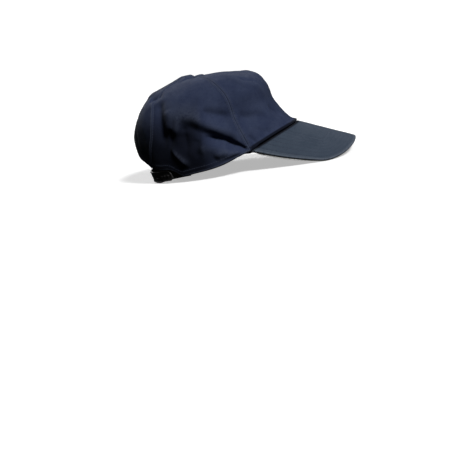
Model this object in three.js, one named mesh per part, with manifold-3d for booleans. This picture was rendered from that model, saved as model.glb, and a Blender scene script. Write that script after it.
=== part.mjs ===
// A soft five-panel cotton cap with a curved bill and a plastic snap strap, standing on a flat surface.
// Millimetres and degrees. +X is forward, +Y the wearer's left, +Z up.
// Bearings run round the crown from 0 at the front to 180 at the back, positive to the wearer's left.
// Elevations run from 0 at the rim plane to 90 at the top button.
import * as THREE from 'three';
import Module from 'manifold-3d';
import { mergeVertices } from 'three/addons/utils/BufferGeometryUtils.js';

const wasm = await Module();
wasm.setup();

// Crown
const halfLength = 97;
const halfWidth = 78;
const crownHeight = 106;
const clothWall = 1.6;
const frontWall = 2.2;
const seamGap = 0.3;
const frontRise = 6.6;
const sideRise = 3;
const cornerBearing = 69;
const crownTopAngle = 86;
const foldDepth = 6;
const foldWidth = 9;
const hemFade = 14;

// Opening at the back
const openingHeight = 42;
const openingHalfAngle = 57;

// Bill
const billLength = 75;
const billHalfWidth = 80;
const billSlope = 36.9;
const billWidest = 37;
const billArchAtCorner = 40.5;
const billArchAtTip = 17;
const billCornerSetback = 46;
const billBoard = 2.6;
const billLining = 0.8;
const billEndWidth = 4;
const billTurnIn = 8;
const billTurnAt = 0.42;
const billFrontBulge = 0.9;
const billSideBulge = 0.82;

// Button
const buttonRadius = 8.5;
const buttonRise = 2.4;
const buttonEdge = 0.9;

// Sweatband
const bandHeight = 28;
const bandWall = 1.2;
const bandShow = 1;
const bandHalfAngle = 119;

// Strap
const strapHeight = 14;
const strapWall = 1.4;
const strapRise = 5.5;
const strapTuck = 3.5;
const strapStartBearing = 119;
const strapTuckBearing = 122;
const strapTuckRun = 20;
const strapEndBearing = 134;
const strapTongueBearing = 161;
const strapFlatHalfAngle = 24;
const strapFlatBlend = 12;
const innerTrim = 1.2;
const strapHoleRadius = 1.6;
const strapHolePitch = 6.3;
const strapHoleCount = 13;
const pegRadius = 1.2;
const pegCount = 3;
const pegRise = 0.8;

// Shares and angles that keep the construction within bounds
const earAngle = 95;
const lowestAngle = -8;
const highestRimAngle = 60;
const highestBillAngle = 25;
const steepestTurn = 0.985;
const tongueShare = 0.995;
const bluntestEnd = 0.2;
const buttonCentre = 0.02;
const bandRunIn = 6;

// How a fold rises at the start of its path and dies out at its end, as shares of the path
const foldStart = { share: 0.2, run: 0.2 };
const foldEnd = { share: 0.1, run: 0.33 };

// Steps for slopes of a surface, and the number of points and passes of a search
const angleStep = 0.6;
const lengthStep = 0.5;
const halvings = 40;
const rimPasses = 6;
const restSamples = 80;
const holeSearchStep = 0.1;
const roundSides = 10;
const outerStrapColumns = 38;
const innerStrapColumns = 20;

const degrees = Math.PI / 180;

// Crown radii as shares of the ellipsoid of the three crown sizes: a row for each bearing,
// a column for each elevation. The row at 42 holds the shoulder of the front panel.
const crownElevations = [0, 8, 18, 28, 38, 50, 62, 76, 90];
const crownSections = [
  { bearing: 0, radii: [1.03, 0.94, 0.9, 0.915, 1.01, 1.03, 0.985, 0.98, 1] },
  { bearing: 22, radii: [1.02, 0.95, 0.92, 0.945, 1.055, 1.055, 1.01, 0.99, 1] },
  { bearing: 42, radii: [1.005, 0.97, 0.965, 1, 1.115, 1.1, 1.045, 1.005, 1] },
  { bearing: 68, radii: [1, 1, 1.01, 1.04, 1.08, 1.09, 1.06, 1.02, 1] },
  { bearing: 95, radii: [1, 1.02, 1.05, 1.08, 1.1, 1.11, 1.09, 1.04, 1] },
  { bearing: 125, radii: [1.01, 1.04, 1.08, 1.13, 1.16, 1.16, 1.12, 1.06, 1] },
  { bearing: 152, radii: [1.05, 1.08, 1.12, 1.18, 1.23, 1.22, 1.155, 1.08, 1] },
  { bearing: 180, radii: [1.065, 1.09, 1.185, 1.255, 1.26, 1.24, 1.175, 1.09, 1] },
];

// Bearings of the two seams on each side, at each elevation
const frontSeam = { elevation: [0, 20, 40, 55, 70, 90], bearing: [69, 70, 67.5, 69, 71, 75] };
const backSeam = {
  elevation: [8, 20, 32, 42, 52, 62, 74, 90],
  bearing: [157, 149.5, 141, 140.5, 146, 149, 155, 160],
};

// Lower edge of the crown over the back opening: height as a share of the opening's height,
// against the distance from its middle as a share of its half angle
const openingEdge = {
  offset: [0, 0.25, 0.5, 0.7, 0.8, 0.87, 0.94, 1],
  height: [1, 0.86, 0.56, 0.44, 0.405, 0.32, 0.17, 0.07],
};

// Folds and dents of the cloth, each along a path of [bearing, elevation] points.
// Depth is a share of foldDepth, in (-) or out (+), and width a share of foldWidth.
const folds = [
  // long crease from the bill's corner back over the ear, with the cloth above it hanging over
  { path: [[-76, 8], [-83, 14.6], [-94.5, 21.8], [-104, 28.6], [-116, 33]], depth: -0.85, width: 0.8 },
  { path: [[-80, 18], [-92, 27], [-104, 34], [-116, 39]], depth: 0.4, width: 1.3 },
  // bulge between the crease and the hem
  { path: [[-82, 8], [-94, 12], [-104, 16]], depth: 0.45, width: 1.1 },
  // hollow across the front seam at half height
  { path: [[-84, 33], [-67, 27], [-50, 21]], depth: -0.5, width: 1.6 },
  // upright crease and hollow beside the back seam
  { path: [[-136, 52], [-130, 42], [-130, 30], [-131, 22]], depth: -0.6, width: 0.9 },
  { path: [[-122, 44], [-120, 34], [-119, 24]], depth: 0.3, width: 1.1 },
  // slanting fold above the hem behind the ear
  { path: [[-126, 22], [-120, 14], [-115, 6]], depth: 0.4, width: 0.8 },
  // crease across the back seam near the top
  { path: [[-158, 53], [-148, 56], [-140, 60]], depth: -0.45, width: 0.8 },
  // small creases low on the front panel
  { path: [[-31, 24], [-23, 18], [-19, 12]], depth: -0.3, width: 0.6 },
  // plainer folds of the left side
  { path: [[78, 9], [92, 20], [112, 31]], depth: -0.6, width: 1 },
  { path: [[84, 33], [67, 28], [50, 22]], depth: -0.4, width: 1.6 },
  { path: [[134, 50], [130, 36], [131, 24]], depth: -0.4, width: 1 },
];

// Cubic through the knots of a table column, flat at both ends
function tableValue(knots, values, x) {
  const last = knots.length - 1;
  let i = 0;
  while (i < last - 1 && x >= knots[i + 1]) i += 1;
  const slope = (j) => {
    if (j === 0 || j === last) return 0;
    return (values[j + 1] - values[j - 1]) / (knots[j + 1] - knots[j - 1]);
  };
  const span = knots[i + 1] - knots[i];
  const t = Math.min(Math.max((x - knots[i]) / span, 0), 1);
  const t2 = t * t;
  const t3 = t2 * t;
  return (2 * t3 - 3 * t2 + 1) * values[i] + (t3 - 2 * t2 + t) * span * slope(i)
    + (3 * t2 - 2 * t3) * values[i + 1] + (t3 - t2) * span * slope(i + 1);
}

function smooth(t) {
  const c = Math.min(Math.max(t, 0), 1);
  return c * c * (3 - 2 * c);
}

function fromBack(bearing) {
  return 180 - Math.abs(bearing);
}

// Smallest angle between low and high at which test says yes
function bisect(low, high, test) {
  let a = low;
  let b = high;
  for (let i = 0; i < halvings; i += 1) {
    const middle = (a + b) / 2;
    if (test(middle)) b = middle;
    else a = middle;
  }
  return (a + b) / 2;
}

// Crown without its folds
const sectionBearings = crownSections.map((section) => section.bearing);
function plainCrown(bearing, elevation) {
  const rows = crownSections.map((section) => tableValue(crownElevations, section.radii, elevation));
  const radius = tableValue(sectionBearings, rows, Math.abs(bearing));
  const t = bearing * degrees;
  const e = elevation * degrees;
  return new THREE.Vector3(
    halfLength * radius * Math.cos(e) * Math.cos(t),
    halfWidth * radius * Math.cos(e) * Math.sin(t),
    crownHeight * radius * Math.sin(e),
  );
}

// Elevation at which the plain crown reaches a height
function elevationAt(bearing, height) {
  return bisect(lowestAngle, highestRimAngle, (elevation) => plainCrown(bearing, elevation).z > height);
}

// Sheet of the bill: distance forward along its ridge, distance sideways, depth below its face
const ridgeStart = plainCrown(0, elevationAt(0, frontRise));
const ridgeDirection = new THREE.Vector3(Math.cos(billSlope * degrees), 0, -Math.sin(billSlope * degrees));
const ridgeNormal = new THREE.Vector3(Math.sin(billSlope * degrees), 0, Math.cos(billSlope * degrees));
const cornerHalfWidth = Math.abs(plainCrown(cornerBearing, 1).y);

function curvatureFor(archDrop) {
  return (2 * archDrop) / (cornerHalfWidth ** 2 + archDrop ** 2);
}

function archDepth(forward, side) {
  const share = Math.min(Math.max((forward + billCornerSetback) / (billLength + billCornerSetback), 0), 1);
  const corner = curvatureFor(billArchAtCorner);
  const curvature = corner + (curvatureFor(billArchAtTip) - corner) * share;
  const turn = Math.min(Math.abs(side) * curvature, steepestTurn);
  return (1 - Math.sqrt(1 - turn * turn)) / curvature;
}

function sheetPoint(forward, side) {
  return ridgeStart.clone()
    .addScaledVector(ridgeDirection, forward)
    .addScaledVector(ridgeNormal, -archDepth(forward, side))
    .add(new THREE.Vector3(0, side, 0));
}

function sheetNormal(forward, side) {
  const along = sheetPoint(forward + lengthStep, side).sub(sheetPoint(forward - lengthStep, side));
  const across = sheetPoint(forward, side + lengthStep).sub(sheetPoint(forward, side - lengthStep));
  return along.cross(across).normalize();
}

function sheetPlace(point) {
  const offset = point.clone().sub(ridgeStart);
  return { forward: offset.dot(ridgeDirection), side: offset.y, height: offset.dot(ridgeNormal) };
}

// Lower edge of the crown: on the bill's sheet in front, level over the ears, raised over the opening
function elevationOnSheet(bearing) {
  return bisect(lowestAngle, highestBillAngle, (elevation) => {
    const place = sheetPlace(plainCrown(bearing, elevation));
    return place.height + archDepth(place.forward, place.side) > seamGap;
  });
}

const cornerHeight = plainCrown(cornerBearing, elevationOnSheet(cornerBearing)).z;

function rimHeight(bearing) {
  const b = Math.abs(bearing);
  const offset = fromBack(b) / openingHalfAngle;
  if (offset < 1) return openingHeight * tableValue(openingEdge.offset, openingEdge.height, offset);
  const footBearing = 180 - openingHalfAngle;
  const behind = sideRise * smooth((b - earAngle) / (footBearing - earAngle));
  const ahead = cornerHeight * (1 - smooth((b - cornerBearing) / (earAngle - cornerBearing)));
  return behind + ahead;
}

function rimElevation(bearing) {
  if (Math.abs(bearing) < cornerBearing) return elevationOnSheet(bearing);
  return elevationAt(bearing, rimHeight(bearing));
}

// Distance outwards that the folds move the cloth at a point of the plain crown
const foldPaths = folds.map(({ path }) => path.map(([bearing, elevation]) => plainCrown(bearing, elevation)));
const nearest = new THREE.Vector3();

function foldHeight(point, rim) {
  let height = 0;
  folds.forEach((fold, index) => {
    const path = foldPaths[index];
    const pieces = path.length - 1;
    let distance = Infinity;
    let along = 0;
    for (let i = 0; i < pieces; i += 1) {
      const line = new THREE.Line3(path[i], path[i + 1]);
      const t = line.closestPointToPointParameter(point, true);
      line.at(t, nearest);
      const d = nearest.distanceTo(point);
      if (d < distance) {
        distance = d;
        along = (i + t) / pieces;
      }
    }
    const taper = smooth(along / foldStart.run + foldStart.share)
      * smooth((1 - along) / foldEnd.run + foldEnd.share);
    const width = fold.width * foldWidth;
    height += fold.depth * foldDepth * taper * Math.exp(-((distance / width) ** 2));
  });
  const aboveRim = point.z - rim;
  const aboveBand = smooth((aboveRim - bandHeight) / hemFade);
  if (height < 0) height *= aboveBand;
  return height * smooth(aboveRim / hemFade);
}

function crownPoint(bearing, elevation) {
  const point = plainCrown(bearing, elevation);
  const out = foldHeight(point, Math.abs(bearing) < cornerBearing ? ridgeStart.z : rimHeight(bearing));
  return point.multiplyScalar(1 + out / point.length());
}

function surfaceNormal(surface, bearing, elevation) {
  const across = surface(bearing + angleStep, elevation).sub(surface(bearing - angleStep, elevation));
  const up = surface(bearing, elevation + angleStep).sub(surface(bearing, elevation - angleStep));
  return across.cross(up).normalize();
}

// Closed wall between two grids of points: grid[row][column]
function wallBetween(outer, inner, closedColumns = false) {
  const rows = outer.length;
  const columns = outer[0].length;
  const positions = [];
  [outer, inner].forEach((grid) => grid.forEach((row) => row.forEach((p) => positions.push(p.x, p.y, p.z))));
  const id = (layer, row, column) => (layer * rows + row) * columns + (column % columns);
  const triangles = [];
  const quad = (a, b, c, d) => triangles.push([a, b, c], [a, c, d]);
  const spans = closedColumns ? columns : columns - 1;
  for (let i = 0; i < rows - 1; i += 1) {
    for (let j = 0; j < spans; j += 1) {
      quad(id(0, i, j), id(0, i, j + 1), id(0, i + 1, j + 1), id(0, i + 1, j));
      quad(id(1, i, j + 1), id(1, i, j), id(1, i + 1, j), id(1, i + 1, j + 1));
    }
  }
  for (let j = 0; j < spans; j += 1) {
    quad(id(1, 0, j), id(1, 0, j + 1), id(0, 0, j + 1), id(0, 0, j));
    quad(id(0, rows - 1, j), id(0, rows - 1, j + 1), id(1, rows - 1, j + 1), id(1, rows - 1, j));
  }
  if (!closedColumns) {
    for (let i = 0; i < rows - 1; i += 1) {
      quad(id(1, i, 0), id(0, i, 0), id(0, i + 1, 0), id(1, i + 1, 0));
      const end = columns - 1;
      quad(id(0, i, end), id(1, i, end), id(1, i + 1, end), id(0, i + 1, end));
    }
  }
  return closedBody(positions, triangles);
}

// Merged geometry of a list of triangles, without its empty ones and facing outwards
function closedBody(positions, triangles) {
  const loose = new THREE.BufferGeometry();
  loose.setAttribute('position', new THREE.Float32BufferAttribute(positions, 3));
  loose.setIndex(triangles.flat());
  const merged = mergeVertices(loose, 1e-4);
  const place = merged.getAttribute('position');
  const index = merged.getIndex().array;
  const kept = [];
  let volume = 0;
  const corner = [0, 1, 2].map(() => new THREE.Vector3());
  for (let i = 0; i < index.length; i += 3) {
    const [a, b, c] = [index[i], index[i + 1], index[i + 2]];
    if (a !== b && b !== c && c !== a) {
      kept.push(a, b, c);
      corner[0].fromBufferAttribute(place, a);
      corner[1].fromBufferAttribute(place, b);
      corner[2].fromBufferAttribute(place, c);
      volume += corner[0].dot(corner[1].cross(corner[2]));
    }
  }
  if (volume < 0) {
    for (let i = 0; i < kept.length; i += 3) [kept[i], kept[i + 1]] = [kept[i + 1], kept[i]];
  }
  merged.setIndex(kept);
  return merged;
}

function grid(rows, columns, point) {
  return Array.from({ length: rows + 1 }, (_, i) => (
    Array.from({ length: columns + 1 }, (__, j) => point(i / rows, j / columns))
  ));
}

// Panel of the crown between two seams, from the rim to the button
function panel(rightSeam, leftSeam, wall, { rows, columns }) {
  const places = grid(rows, columns, (up, across) => {
    const between = (elevation) => {
      const right = rightSeam(elevation);
      return right + (leftSeam(elevation) - right) * across;
    };
    let start = rimElevation(between(0));
    for (let i = 0; i < rimPasses; i += 1) start = rimElevation(between(start));
    const elevation = start + (crownTopAngle - start) * up;
    const bearing = between(elevation);
    const nearby = plainCrown(bearing + angleStep, elevation);
    const perDegree = nearby.distanceTo(plainCrown(bearing - angleStep, elevation)) / (2 * angleStep);
    const inset = (seamGap / 2 / perDegree) * (1 - 2 * across);
    return { bearing: bearing + (across === 0 || across === 1 ? inset : 0), elevation };
  });
  const outer = places.map((row) => row.map((p) => crownPoint(p.bearing, p.elevation)));
  const inner = places.map((row, i) => row.map((p, j) => {
    const normal = surfaceNormal(crownPoint, p.bearing, p.elevation);
    if (i === 0) normal.setZ(0).normalize();
    return outer[i][j].clone().addScaledVector(normal, -wall);
  }));
  return wallBetween(outer, inner);
}

const onSeam = (seam, side) => (elevation) => side * tableValue(seam.elevation, seam.bearing, elevation);
const atBack = (side) => () => side * 180;

// Bill: a tongue under the crown's edge, then the sheet out to its curved outline
function outline(share) {
  const corner = sheetPlace(plainCrown(cornerBearing, rimElevation(cornerBearing)));
  const startForward = corner.forward + billEndWidth;
  if (share < billTurnAt) {
    const t = share / billTurnAt;
    return {
      forward: startForward + (billWidest - startForward) * t,
      side: corner.side + (billHalfWidth - corner.side) * Math.sin((t * Math.PI) / 2),
    };
  }
  const turn = (((share - billTurnAt) / (1 - billTurnAt)) * Math.PI) / 2;
  return {
    forward: billWidest + (billLength - billWidest) * Math.sin(turn) ** billFrontBulge,
    side: share === 1 ? 0 : billHalfWidth * Math.cos(turn) ** billSideBulge,
  };
}

// Point of the bill at a share of its width and of its length, at a depth below its upper face
function billPoint(across, out, depth) {
  const side = Math.sign(across);
  const bearing = across * cornerBearing * tongueShare;
  const elevation = rimElevation(bearing);
  const rim = plainCrown(bearing, elevation);
  const start = sheetPlace(rim);
  const end = outline(1 - Math.abs(across));
  const share = Math.max(out, 0);
  const forward = start.forward + (end.forward - start.forward) * share;
  const sideways = start.side + ((side < 0 ? -1 : 1) * end.side - start.side) * share;
  const face = sheetPoint(forward, sideways);
  if (out < 0) {
    const inwards = surfaceNormal(plainCrown, bearing, elevation).setZ(0).normalize();
    face.addScaledVector(inwards, seamGap - frontWall);
    face.z -= seamGap;
  }
  const reach = Math.hypot(forward - start.forward, sideways - start.side);
  const down = new THREE.Vector3(0, 0, 1)
    .lerp(sheetNormal(forward, sideways), smooth(reach / billTurnIn))
    .normalize();
  return face.addScaledVector(down, -depth);
}

function billLayer(top, bottom, tongue, { rows, columns }) {
  const layer = (depth) => {
    const sheet = grid(rows, columns, (out, across) => billPoint(2 * across - 1, out, depth));
    if (!tongue) return sheet;
    const inside = grid(1, columns, (out, across) => billPoint(2 * across - 1, -1, depth))[0];
    return [inside, ...sheet];
  };
  return wallBetween(layer(top), layer(bottom));
}

// Button: a low cloth-covered disc that follows the top of the crown
function button({ rings, sides }) {
  const layer = (height) => (
    Array.from({ length: rings + 1 }, (_, i) => Array.from({ length: sides }, (__, j) => {
      const share = i / rings;
      const bearing = (360 * j) / sides - 180;
      const reach = buttonRadius * Math.max(share, buttonCentre);
      const spread = (e) => Math.hypot(plainCrown(bearing, e).x, plainCrown(bearing, e).y);
      const elevation = bisect(0, 90, (e) => spread(e) < reach);
      return plainCrown(bearing, elevation).add(new THREE.Vector3(0, 0, height(share)));
    }))
  );
  const top = (share) => seamGap + buttonEdge + (buttonRise - buttonEdge) * Math.sqrt(1 - share ** 2);
  const centre = (rows, height) => rows[0].map(() => plainCrown(0, 90).add(new THREE.Vector3(0, 0, height(0))));
  const upper = layer(top);
  const lower = layer(() => seamGap);
  upper[0] = centre(upper, top);
  lower[0] = centre(lower, () => seamGap);
  return wallBetween(upper, lower, true);
}

// Sweatband: inside the crown, showing a little below its edge
function sweatband({ rows, columns }) {
  const layer = (depth) => grid(rows, columns, (up, across) => {
    const bearing = bandHalfAngle * (2 * across - 1);
    const rim = plainCrown(bearing, rimElevation(bearing)).z;
    const show = (bandShow + seamGap) * smooth((Math.abs(bearing) - cornerBearing) / bandRunIn) - seamGap;
    const height = rim - show + (bandHeight + show) * up;
    const elevation = elevationAt(bearing, height);
    const normal = surfaceNormal(plainCrown, bearing, elevation);
    if (up === 0) normal.setZ(0).normalize();
    return plainCrown(bearing, elevation).addScaledVector(normal, -depth);
  });
  const outside = frontWall + 2 * seamGap;
  return wallBetween(layer(outside), layer(outside + bandWall));
}

// Strap: an upright band in the opening, level with the crown's lower edge
const strapMiddle = strapRise + strapHeight / 2;

function strapPlan(bearing, inwards) {
  const elevation = elevationAt(bearing, strapMiddle);
  const normal = surfaceNormal(plainCrown, bearing, elevation).setZ(0).normalize();
  return plainCrown(bearing, elevation).addScaledVector(normal, -inwards).setZ(0);
}

function strapCurve(bearing) {
  const offset = fromBack(bearing) / openingHalfAngle;
  return strapRise * (1 - offset * offset);
}

// Standing angle: the cap rests on the strap at the back and on the two side edges of its bill
const restEdge = Array.from({ length: restSamples + 1 }, (_, i) => (
  billPoint((2 * i) / restSamples - 1, 1, billBoard + seamGap + billLining)
));
const backFoot = strapPlan(180, 0).setZ(strapRise);
const standingSlope = Math.max(...restEdge.map((p) => (backFoot.z - p.z) / (p.x - backFoot.x)));
const floorHeight = (x) => backFoot.z - (x - backFoot.x) * standingSlope;

function strapBottom(bearing, inwards, lift) {
  const onFloor = floorHeight(strapPlan(bearing, inwards).x);
  const free = smooth((fromBack(bearing) - strapFlatHalfAngle) / strapFlatBlend);
  return onFloor + (strapCurve(bearing) - onFloor) * free + lift;
}

// Depth of each half's outer face inside the crown's face: both end tucked inside the crown
function outOfTuck(bearing) {
  return smooth((Math.abs(bearing) - strapTuckBearing) / strapTuckRun);
}
const outerDepth = (bearing) => (bearing > 0 ? strapTuck * (1 - outOfTuck(bearing)) : 0);
const innerDepth = (bearing) => {
  const free = strapWall + seamGap;
  return strapTuck + (free - strapTuck) * outOfTuck(bearing);
};

// Bearing of a half runs on past 180, so that it crosses the back in one sweep
function wrapped(bearing) {
  return bearing > 180 ? bearing - 360 : bearing;
}

function strapHalf({ from, to, depth, lift, trim, roundAt, columns }) {
  const endReach = strapHeight / 2;
  const place = (wall) => (up, across) => {
    const run = from + (to - from) * across;
    const bearing = wrapped(run);
    const inwards = depth(bearing) + wall;
    const plan = strapPlan(bearing, inwards);
    const end = strapPlan(wrapped(roundAt), depth(wrapped(roundAt)));
    const reach = Math.min(plan.distanceTo(end) / endReach, 1);
    const rounding = Math.sqrt(1 - (1 - reach) ** 2);
    const low = strapBottom(bearing, inwards, lift);
    const high = strapCurve(bearing) + strapHeight - trim;
    const middle = (low + high) / 2;
    const half = ((high - low) / 2) * Math.max(rounding, bluntestEnd);
    return plan.setZ(middle + half * (2 * up - 1));
  };
  return wallBetween(grid(2, columns, place(0)), grid(2, columns, place(strapWall)));
}

// Boolean solids
function solidOf(geometry) {
  const bare = geometry.clone();
  bare.deleteAttribute('normal');
  bare.deleteAttribute('uv');
  const merged = mergeVertices(bare, 1e-4);
  return new wasm.Manifold(new wasm.Mesh({
    numProp: 3,
    vertProperties: new Float32Array(merged.getAttribute('position').array),
    triVerts: new Uint32Array(merged.getIndex().array),
  }));
}

function geometryOf(solid) {
  const mesh = solid.getMesh();
  const geometry = new THREE.BufferGeometry();
  geometry.setAttribute('position', new THREE.Float32BufferAttribute(mesh.vertProperties, 3));
  geometry.setIndex(Array.from(mesh.triVerts));
  return geometry;
}

// Round pin across the strap at a bearing, from one depth inside the crown's face to another
function pinAcross(bearing, radius, fromDepth, toDepth) {
  const start = strapPlan(bearing, fromDepth);
  const end = strapPlan(bearing, toDepth);
  const middle = strapCurve(bearing) + strapHeight / 2;
  const direction = end.clone().sub(start);
  const pin = new THREE.CylinderGeometry(radius, radius, direction.length(), roundSides);
  pin.applyQuaternion(new THREE.Quaternion().setFromUnitVectors(
    new THREE.Vector3(0, 1, 0),
    direction.clone().normalize(),
  ));
  const centre = start.add(end).multiplyScalar(0.5);
  pin.translate(centre.x, centre.y, middle);
  return solidOf(pin);
}

// Bearings of the snap holes, counted back from the rounded end of the outer half
const holeBearings = [];
{
  let bearing = -strapEndBearing;
  let last = strapPlan(bearing, 0);
  let travelled = 0;
  let next = strapHeight / 2;
  while (holeBearings.length < strapHoleCount) {
    bearing -= holeSearchStep;
    const here = strapPlan(wrapped(bearing + 360 * (bearing < -180)), 0);
    travelled += here.distanceTo(last);
    last = here;
    if (travelled >= next) {
      holeBearings.push(wrapped(bearing + 360 * (bearing < -180)));
      next += strapHolePitch;
    }
  }
}

function outerStrap() {
  const band = solidOf(strapHalf({
    from: strapStartBearing,
    to: 360 - strapEndBearing,
    depth: outerDepth,
    lift: 0,
    trim: 0,
    roundAt: 360 - strapEndBearing,
    columns: outerStrapColumns,
  }));
  const holes = holeBearings.map((bearing) => pinAcross(bearing, strapHoleRadius, -strapWall, 2 * strapWall));
  return geometryOf(holes.reduce((solid, hole) => solid.subtract(hole), band));
}

function innerStrap() {
  const band = solidOf(strapHalf({
    from: 360 - strapTongueBearing,
    to: 360 - strapStartBearing,
    depth: innerDepth,
    lift: innerTrim,
    trim: innerTrim,
    roundAt: 360 - strapTongueBearing,
    columns: innerStrapColumns,
  }));
  const pegs = holeBearings.slice(0, pegCount)
    .map((bearing) => pinAcross(bearing, pegRadius, strapWall + seamGap + strapWall / 2, strapWall - pegRise));
  return geometryOf(pegs.reduce((solid, peg) => solid.add(peg), band));
}

// Materials
const finish = {
  navy: { color: 0x2b3250, roughness: 0.85 },
  billNavy: { color: 0x3c4859, roughness: 0.8 },
  lining: { color: 0x8a8a88, roughness: 0.85 },
  band: { color: 0x3a3d48, roughness: 0.9 },
  plastic: { color: 0x101012, roughness: 0.45 },
};

const worn = new THREE.Group();
function addPiece(name, geometry, look) {
  const mesh = new THREE.Mesh(geometry, new THREE.MeshStandardMaterial({ ...look, metalness: 0 }));
  mesh.name = name;
  worn.add(mesh);
}

const right = -1;
const left = 1;
const lining = billBoard + seamGap;
const frontCells = { rows: 16, columns: 32 };
const sideCells = { rows: 18, columns: 22 };
const backCells = { rows: 14, columns: 7 };
const billCells = { rows: 7, columns: 32 };
const liningCells = { rows: 6, columns: 32 };
const bandCells = { rows: 5, columns: 40 };
const buttonCells = { rings: 3, sides: 16 };

const frontRight = onSeam(frontSeam, right);
const frontLeft = onSeam(frontSeam, left);
const backRight = onSeam(backSeam, right);
const backLeft = onSeam(backSeam, left);

addPiece('front_panel', panel(frontRight, frontLeft, frontWall, frontCells), finish.navy);
addPiece('side_panel_right', panel(backRight, frontRight, clothWall, sideCells), finish.navy);
addPiece('side_panel_left', panel(frontLeft, backLeft, clothWall, sideCells), finish.navy);
addPiece('back_panel_right', panel(atBack(right), backRight, clothWall, backCells), finish.navy);
addPiece('back_panel_left', panel(backLeft, atBack(left), clothWall, backCells), finish.navy);
addPiece('top_button', button(buttonCells), finish.navy);
addPiece('bill', billLayer(0, billBoard, true, billCells), finish.billNavy);
addPiece('under_bill', billLayer(lining, lining + billLining, false, liningCells), finish.lining);
addPiece('sweatband', sweatband(bandCells), finish.band);
addPiece('strap_outer', outerStrap(), finish.plastic);
addPiece('strap_inner', innerStrap(), finish.plastic);

// Stand the cap on its strap and bill, with the middle of its outline at the origin
worn.rotation.y = -Math.atan(standingSlope);
const cap = new THREE.Group();
cap.add(worn);
cap.updateMatrixWorld(true);
const extent = new THREE.Box3().setFromObject(cap, true);
worn.position.set(-(extent.min.x + extent.max.x) / 2, 0, -extent.min.z);

export default cap;
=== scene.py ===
import math
import bpy
import numpy as np
from mathutils import Matrix, Vector


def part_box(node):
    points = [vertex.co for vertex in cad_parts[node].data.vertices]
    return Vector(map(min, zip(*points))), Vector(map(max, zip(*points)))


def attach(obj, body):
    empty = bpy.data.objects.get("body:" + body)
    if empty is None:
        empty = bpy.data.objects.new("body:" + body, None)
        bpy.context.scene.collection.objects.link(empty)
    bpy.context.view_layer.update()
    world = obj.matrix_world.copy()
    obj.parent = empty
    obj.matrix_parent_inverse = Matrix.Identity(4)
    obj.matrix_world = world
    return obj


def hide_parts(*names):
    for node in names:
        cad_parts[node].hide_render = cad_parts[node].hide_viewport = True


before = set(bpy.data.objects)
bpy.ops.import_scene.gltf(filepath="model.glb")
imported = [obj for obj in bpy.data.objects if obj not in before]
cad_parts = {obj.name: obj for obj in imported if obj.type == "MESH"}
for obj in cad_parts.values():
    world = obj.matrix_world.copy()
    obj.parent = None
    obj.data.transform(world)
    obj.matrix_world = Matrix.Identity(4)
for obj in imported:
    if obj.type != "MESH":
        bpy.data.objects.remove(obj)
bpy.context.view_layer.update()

# The dressed cap. Sizes are in millimetres and degrees unless a name says otherwise.
# Bearings run round the crown from 0 at the front to 180 at the back, positive to the wearer's left.
# Elevations run from 0 at the rim plane to 90 at the top button.

# Crown, as in the solids
HALF_LENGTH = 97
HALF_WIDTH = 78
CROWN_HEIGHT = 106
CLOTH_WALL = 1.6
FRONT_WALL = 2.2
SEAM_GAP = 0.3
FRONT_RISE = 6.6
SIDE_RISE = 3
CORNER_BEARING = 69
CROWN_TOP = 86
FOLD_DEPTH = 6
FOLD_WIDTH = 9
HEM_FADE = 14
OPENING_HEIGHT = 42
OPENING_HALF_ANGLE = 57
EAR_ANGLE = 95
LOWEST_ANGLE = -8.0
HIGHEST_RIM_ANGLE = 60.0
HIGHEST_BILL_ANGLE = 25.0

# Bill, as in the solids
BILL_LENGTH = 75
BILL_HALF_WIDTH = 80
BILL_SLOPE = 36.9
BILL_WIDEST = 37
BILL_ARCH_AT_CORNER = 40.5
BILL_ARCH_AT_TIP = 17
BILL_CORNER_SETBACK = 46
BILL_BOARD = 2.6
BILL_LINING = 0.8
BILL_END_WIDTH = 4
BILL_TURN_IN = 8
BILL_TURN_AT = 0.42
BILL_FRONT_BULGE = 0.9
BILL_SIDE_BULGE = 0.82
BILL_SPAN = 0.995

# Button, sweatband and strap, as in the solids
BUTTON_RADIUS = 8.5
BUTTON_RISE = 2.4
BAND_HEIGHT = 28
BAND_WALL = 1.2
BAND_SHOW = 1
BAND_HALF_ANGLE = 119
STRAP_HEIGHT = 14
STRAP_WALL = 1.4
STRAP_RISE = 5.5
STRAP_TUCK = 3.5
STRAP_START = 119
STRAP_TUCK_BEARING = 122
STRAP_TUCK_RUN = 20
STRAP_END = 134
STRAP_TONGUE = 161
STRAP_FLAT_HALF_ANGLE = 24
STRAP_FLAT_BLEND = 12
INNER_TRIM = 1.2
HOLE_RADIUS = 1.6
HOLE_PITCH = 6.3
HOLE_COUNT = 13
PEG_RADIUS = 1.2
PEG_COUNT = 3

# Crown radii as shares of the ellipsoid of the three crown sizes: a row for each bearing,
# a column for each elevation
CROWN_ELEVATIONS = np.array([0, 8, 18, 28, 38, 50, 62, 76, 90.])
CROWN_BEARINGS = np.array([0, 22, 42, 68, 95, 125, 152, 180.])
CROWN_RADII = np.array([
    [1.03, 0.94, 0.9, 0.915, 1.01, 1.03, 0.985, 0.98, 1],
    [1.02, 0.95, 0.92, 0.945, 1.055, 1.055, 1.01, 0.99, 1],
    [1.005, 0.97, 0.965, 1, 1.115, 1.1, 1.045, 1.005, 1],
    [1, 1, 1.01, 1.04, 1.08, 1.09, 1.06, 1.02, 1],
    [1, 1.02, 1.05, 1.08, 1.1, 1.11, 1.09, 1.04, 1],
    [1.01, 1.04, 1.08, 1.13, 1.16, 1.16, 1.12, 1.06, 1],
    [1.05, 1.08, 1.12, 1.18, 1.23, 1.22, 1.155, 1.08, 1],
    [1.065, 1.09, 1.185, 1.255, 1.26, 1.24, 1.175, 1.09, 1],
])
FRONT_SEAM = np.array([(0, 69), (20, 70), (40, 67.5), (55, 69), (70, 71), (90, 75.)])
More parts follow.
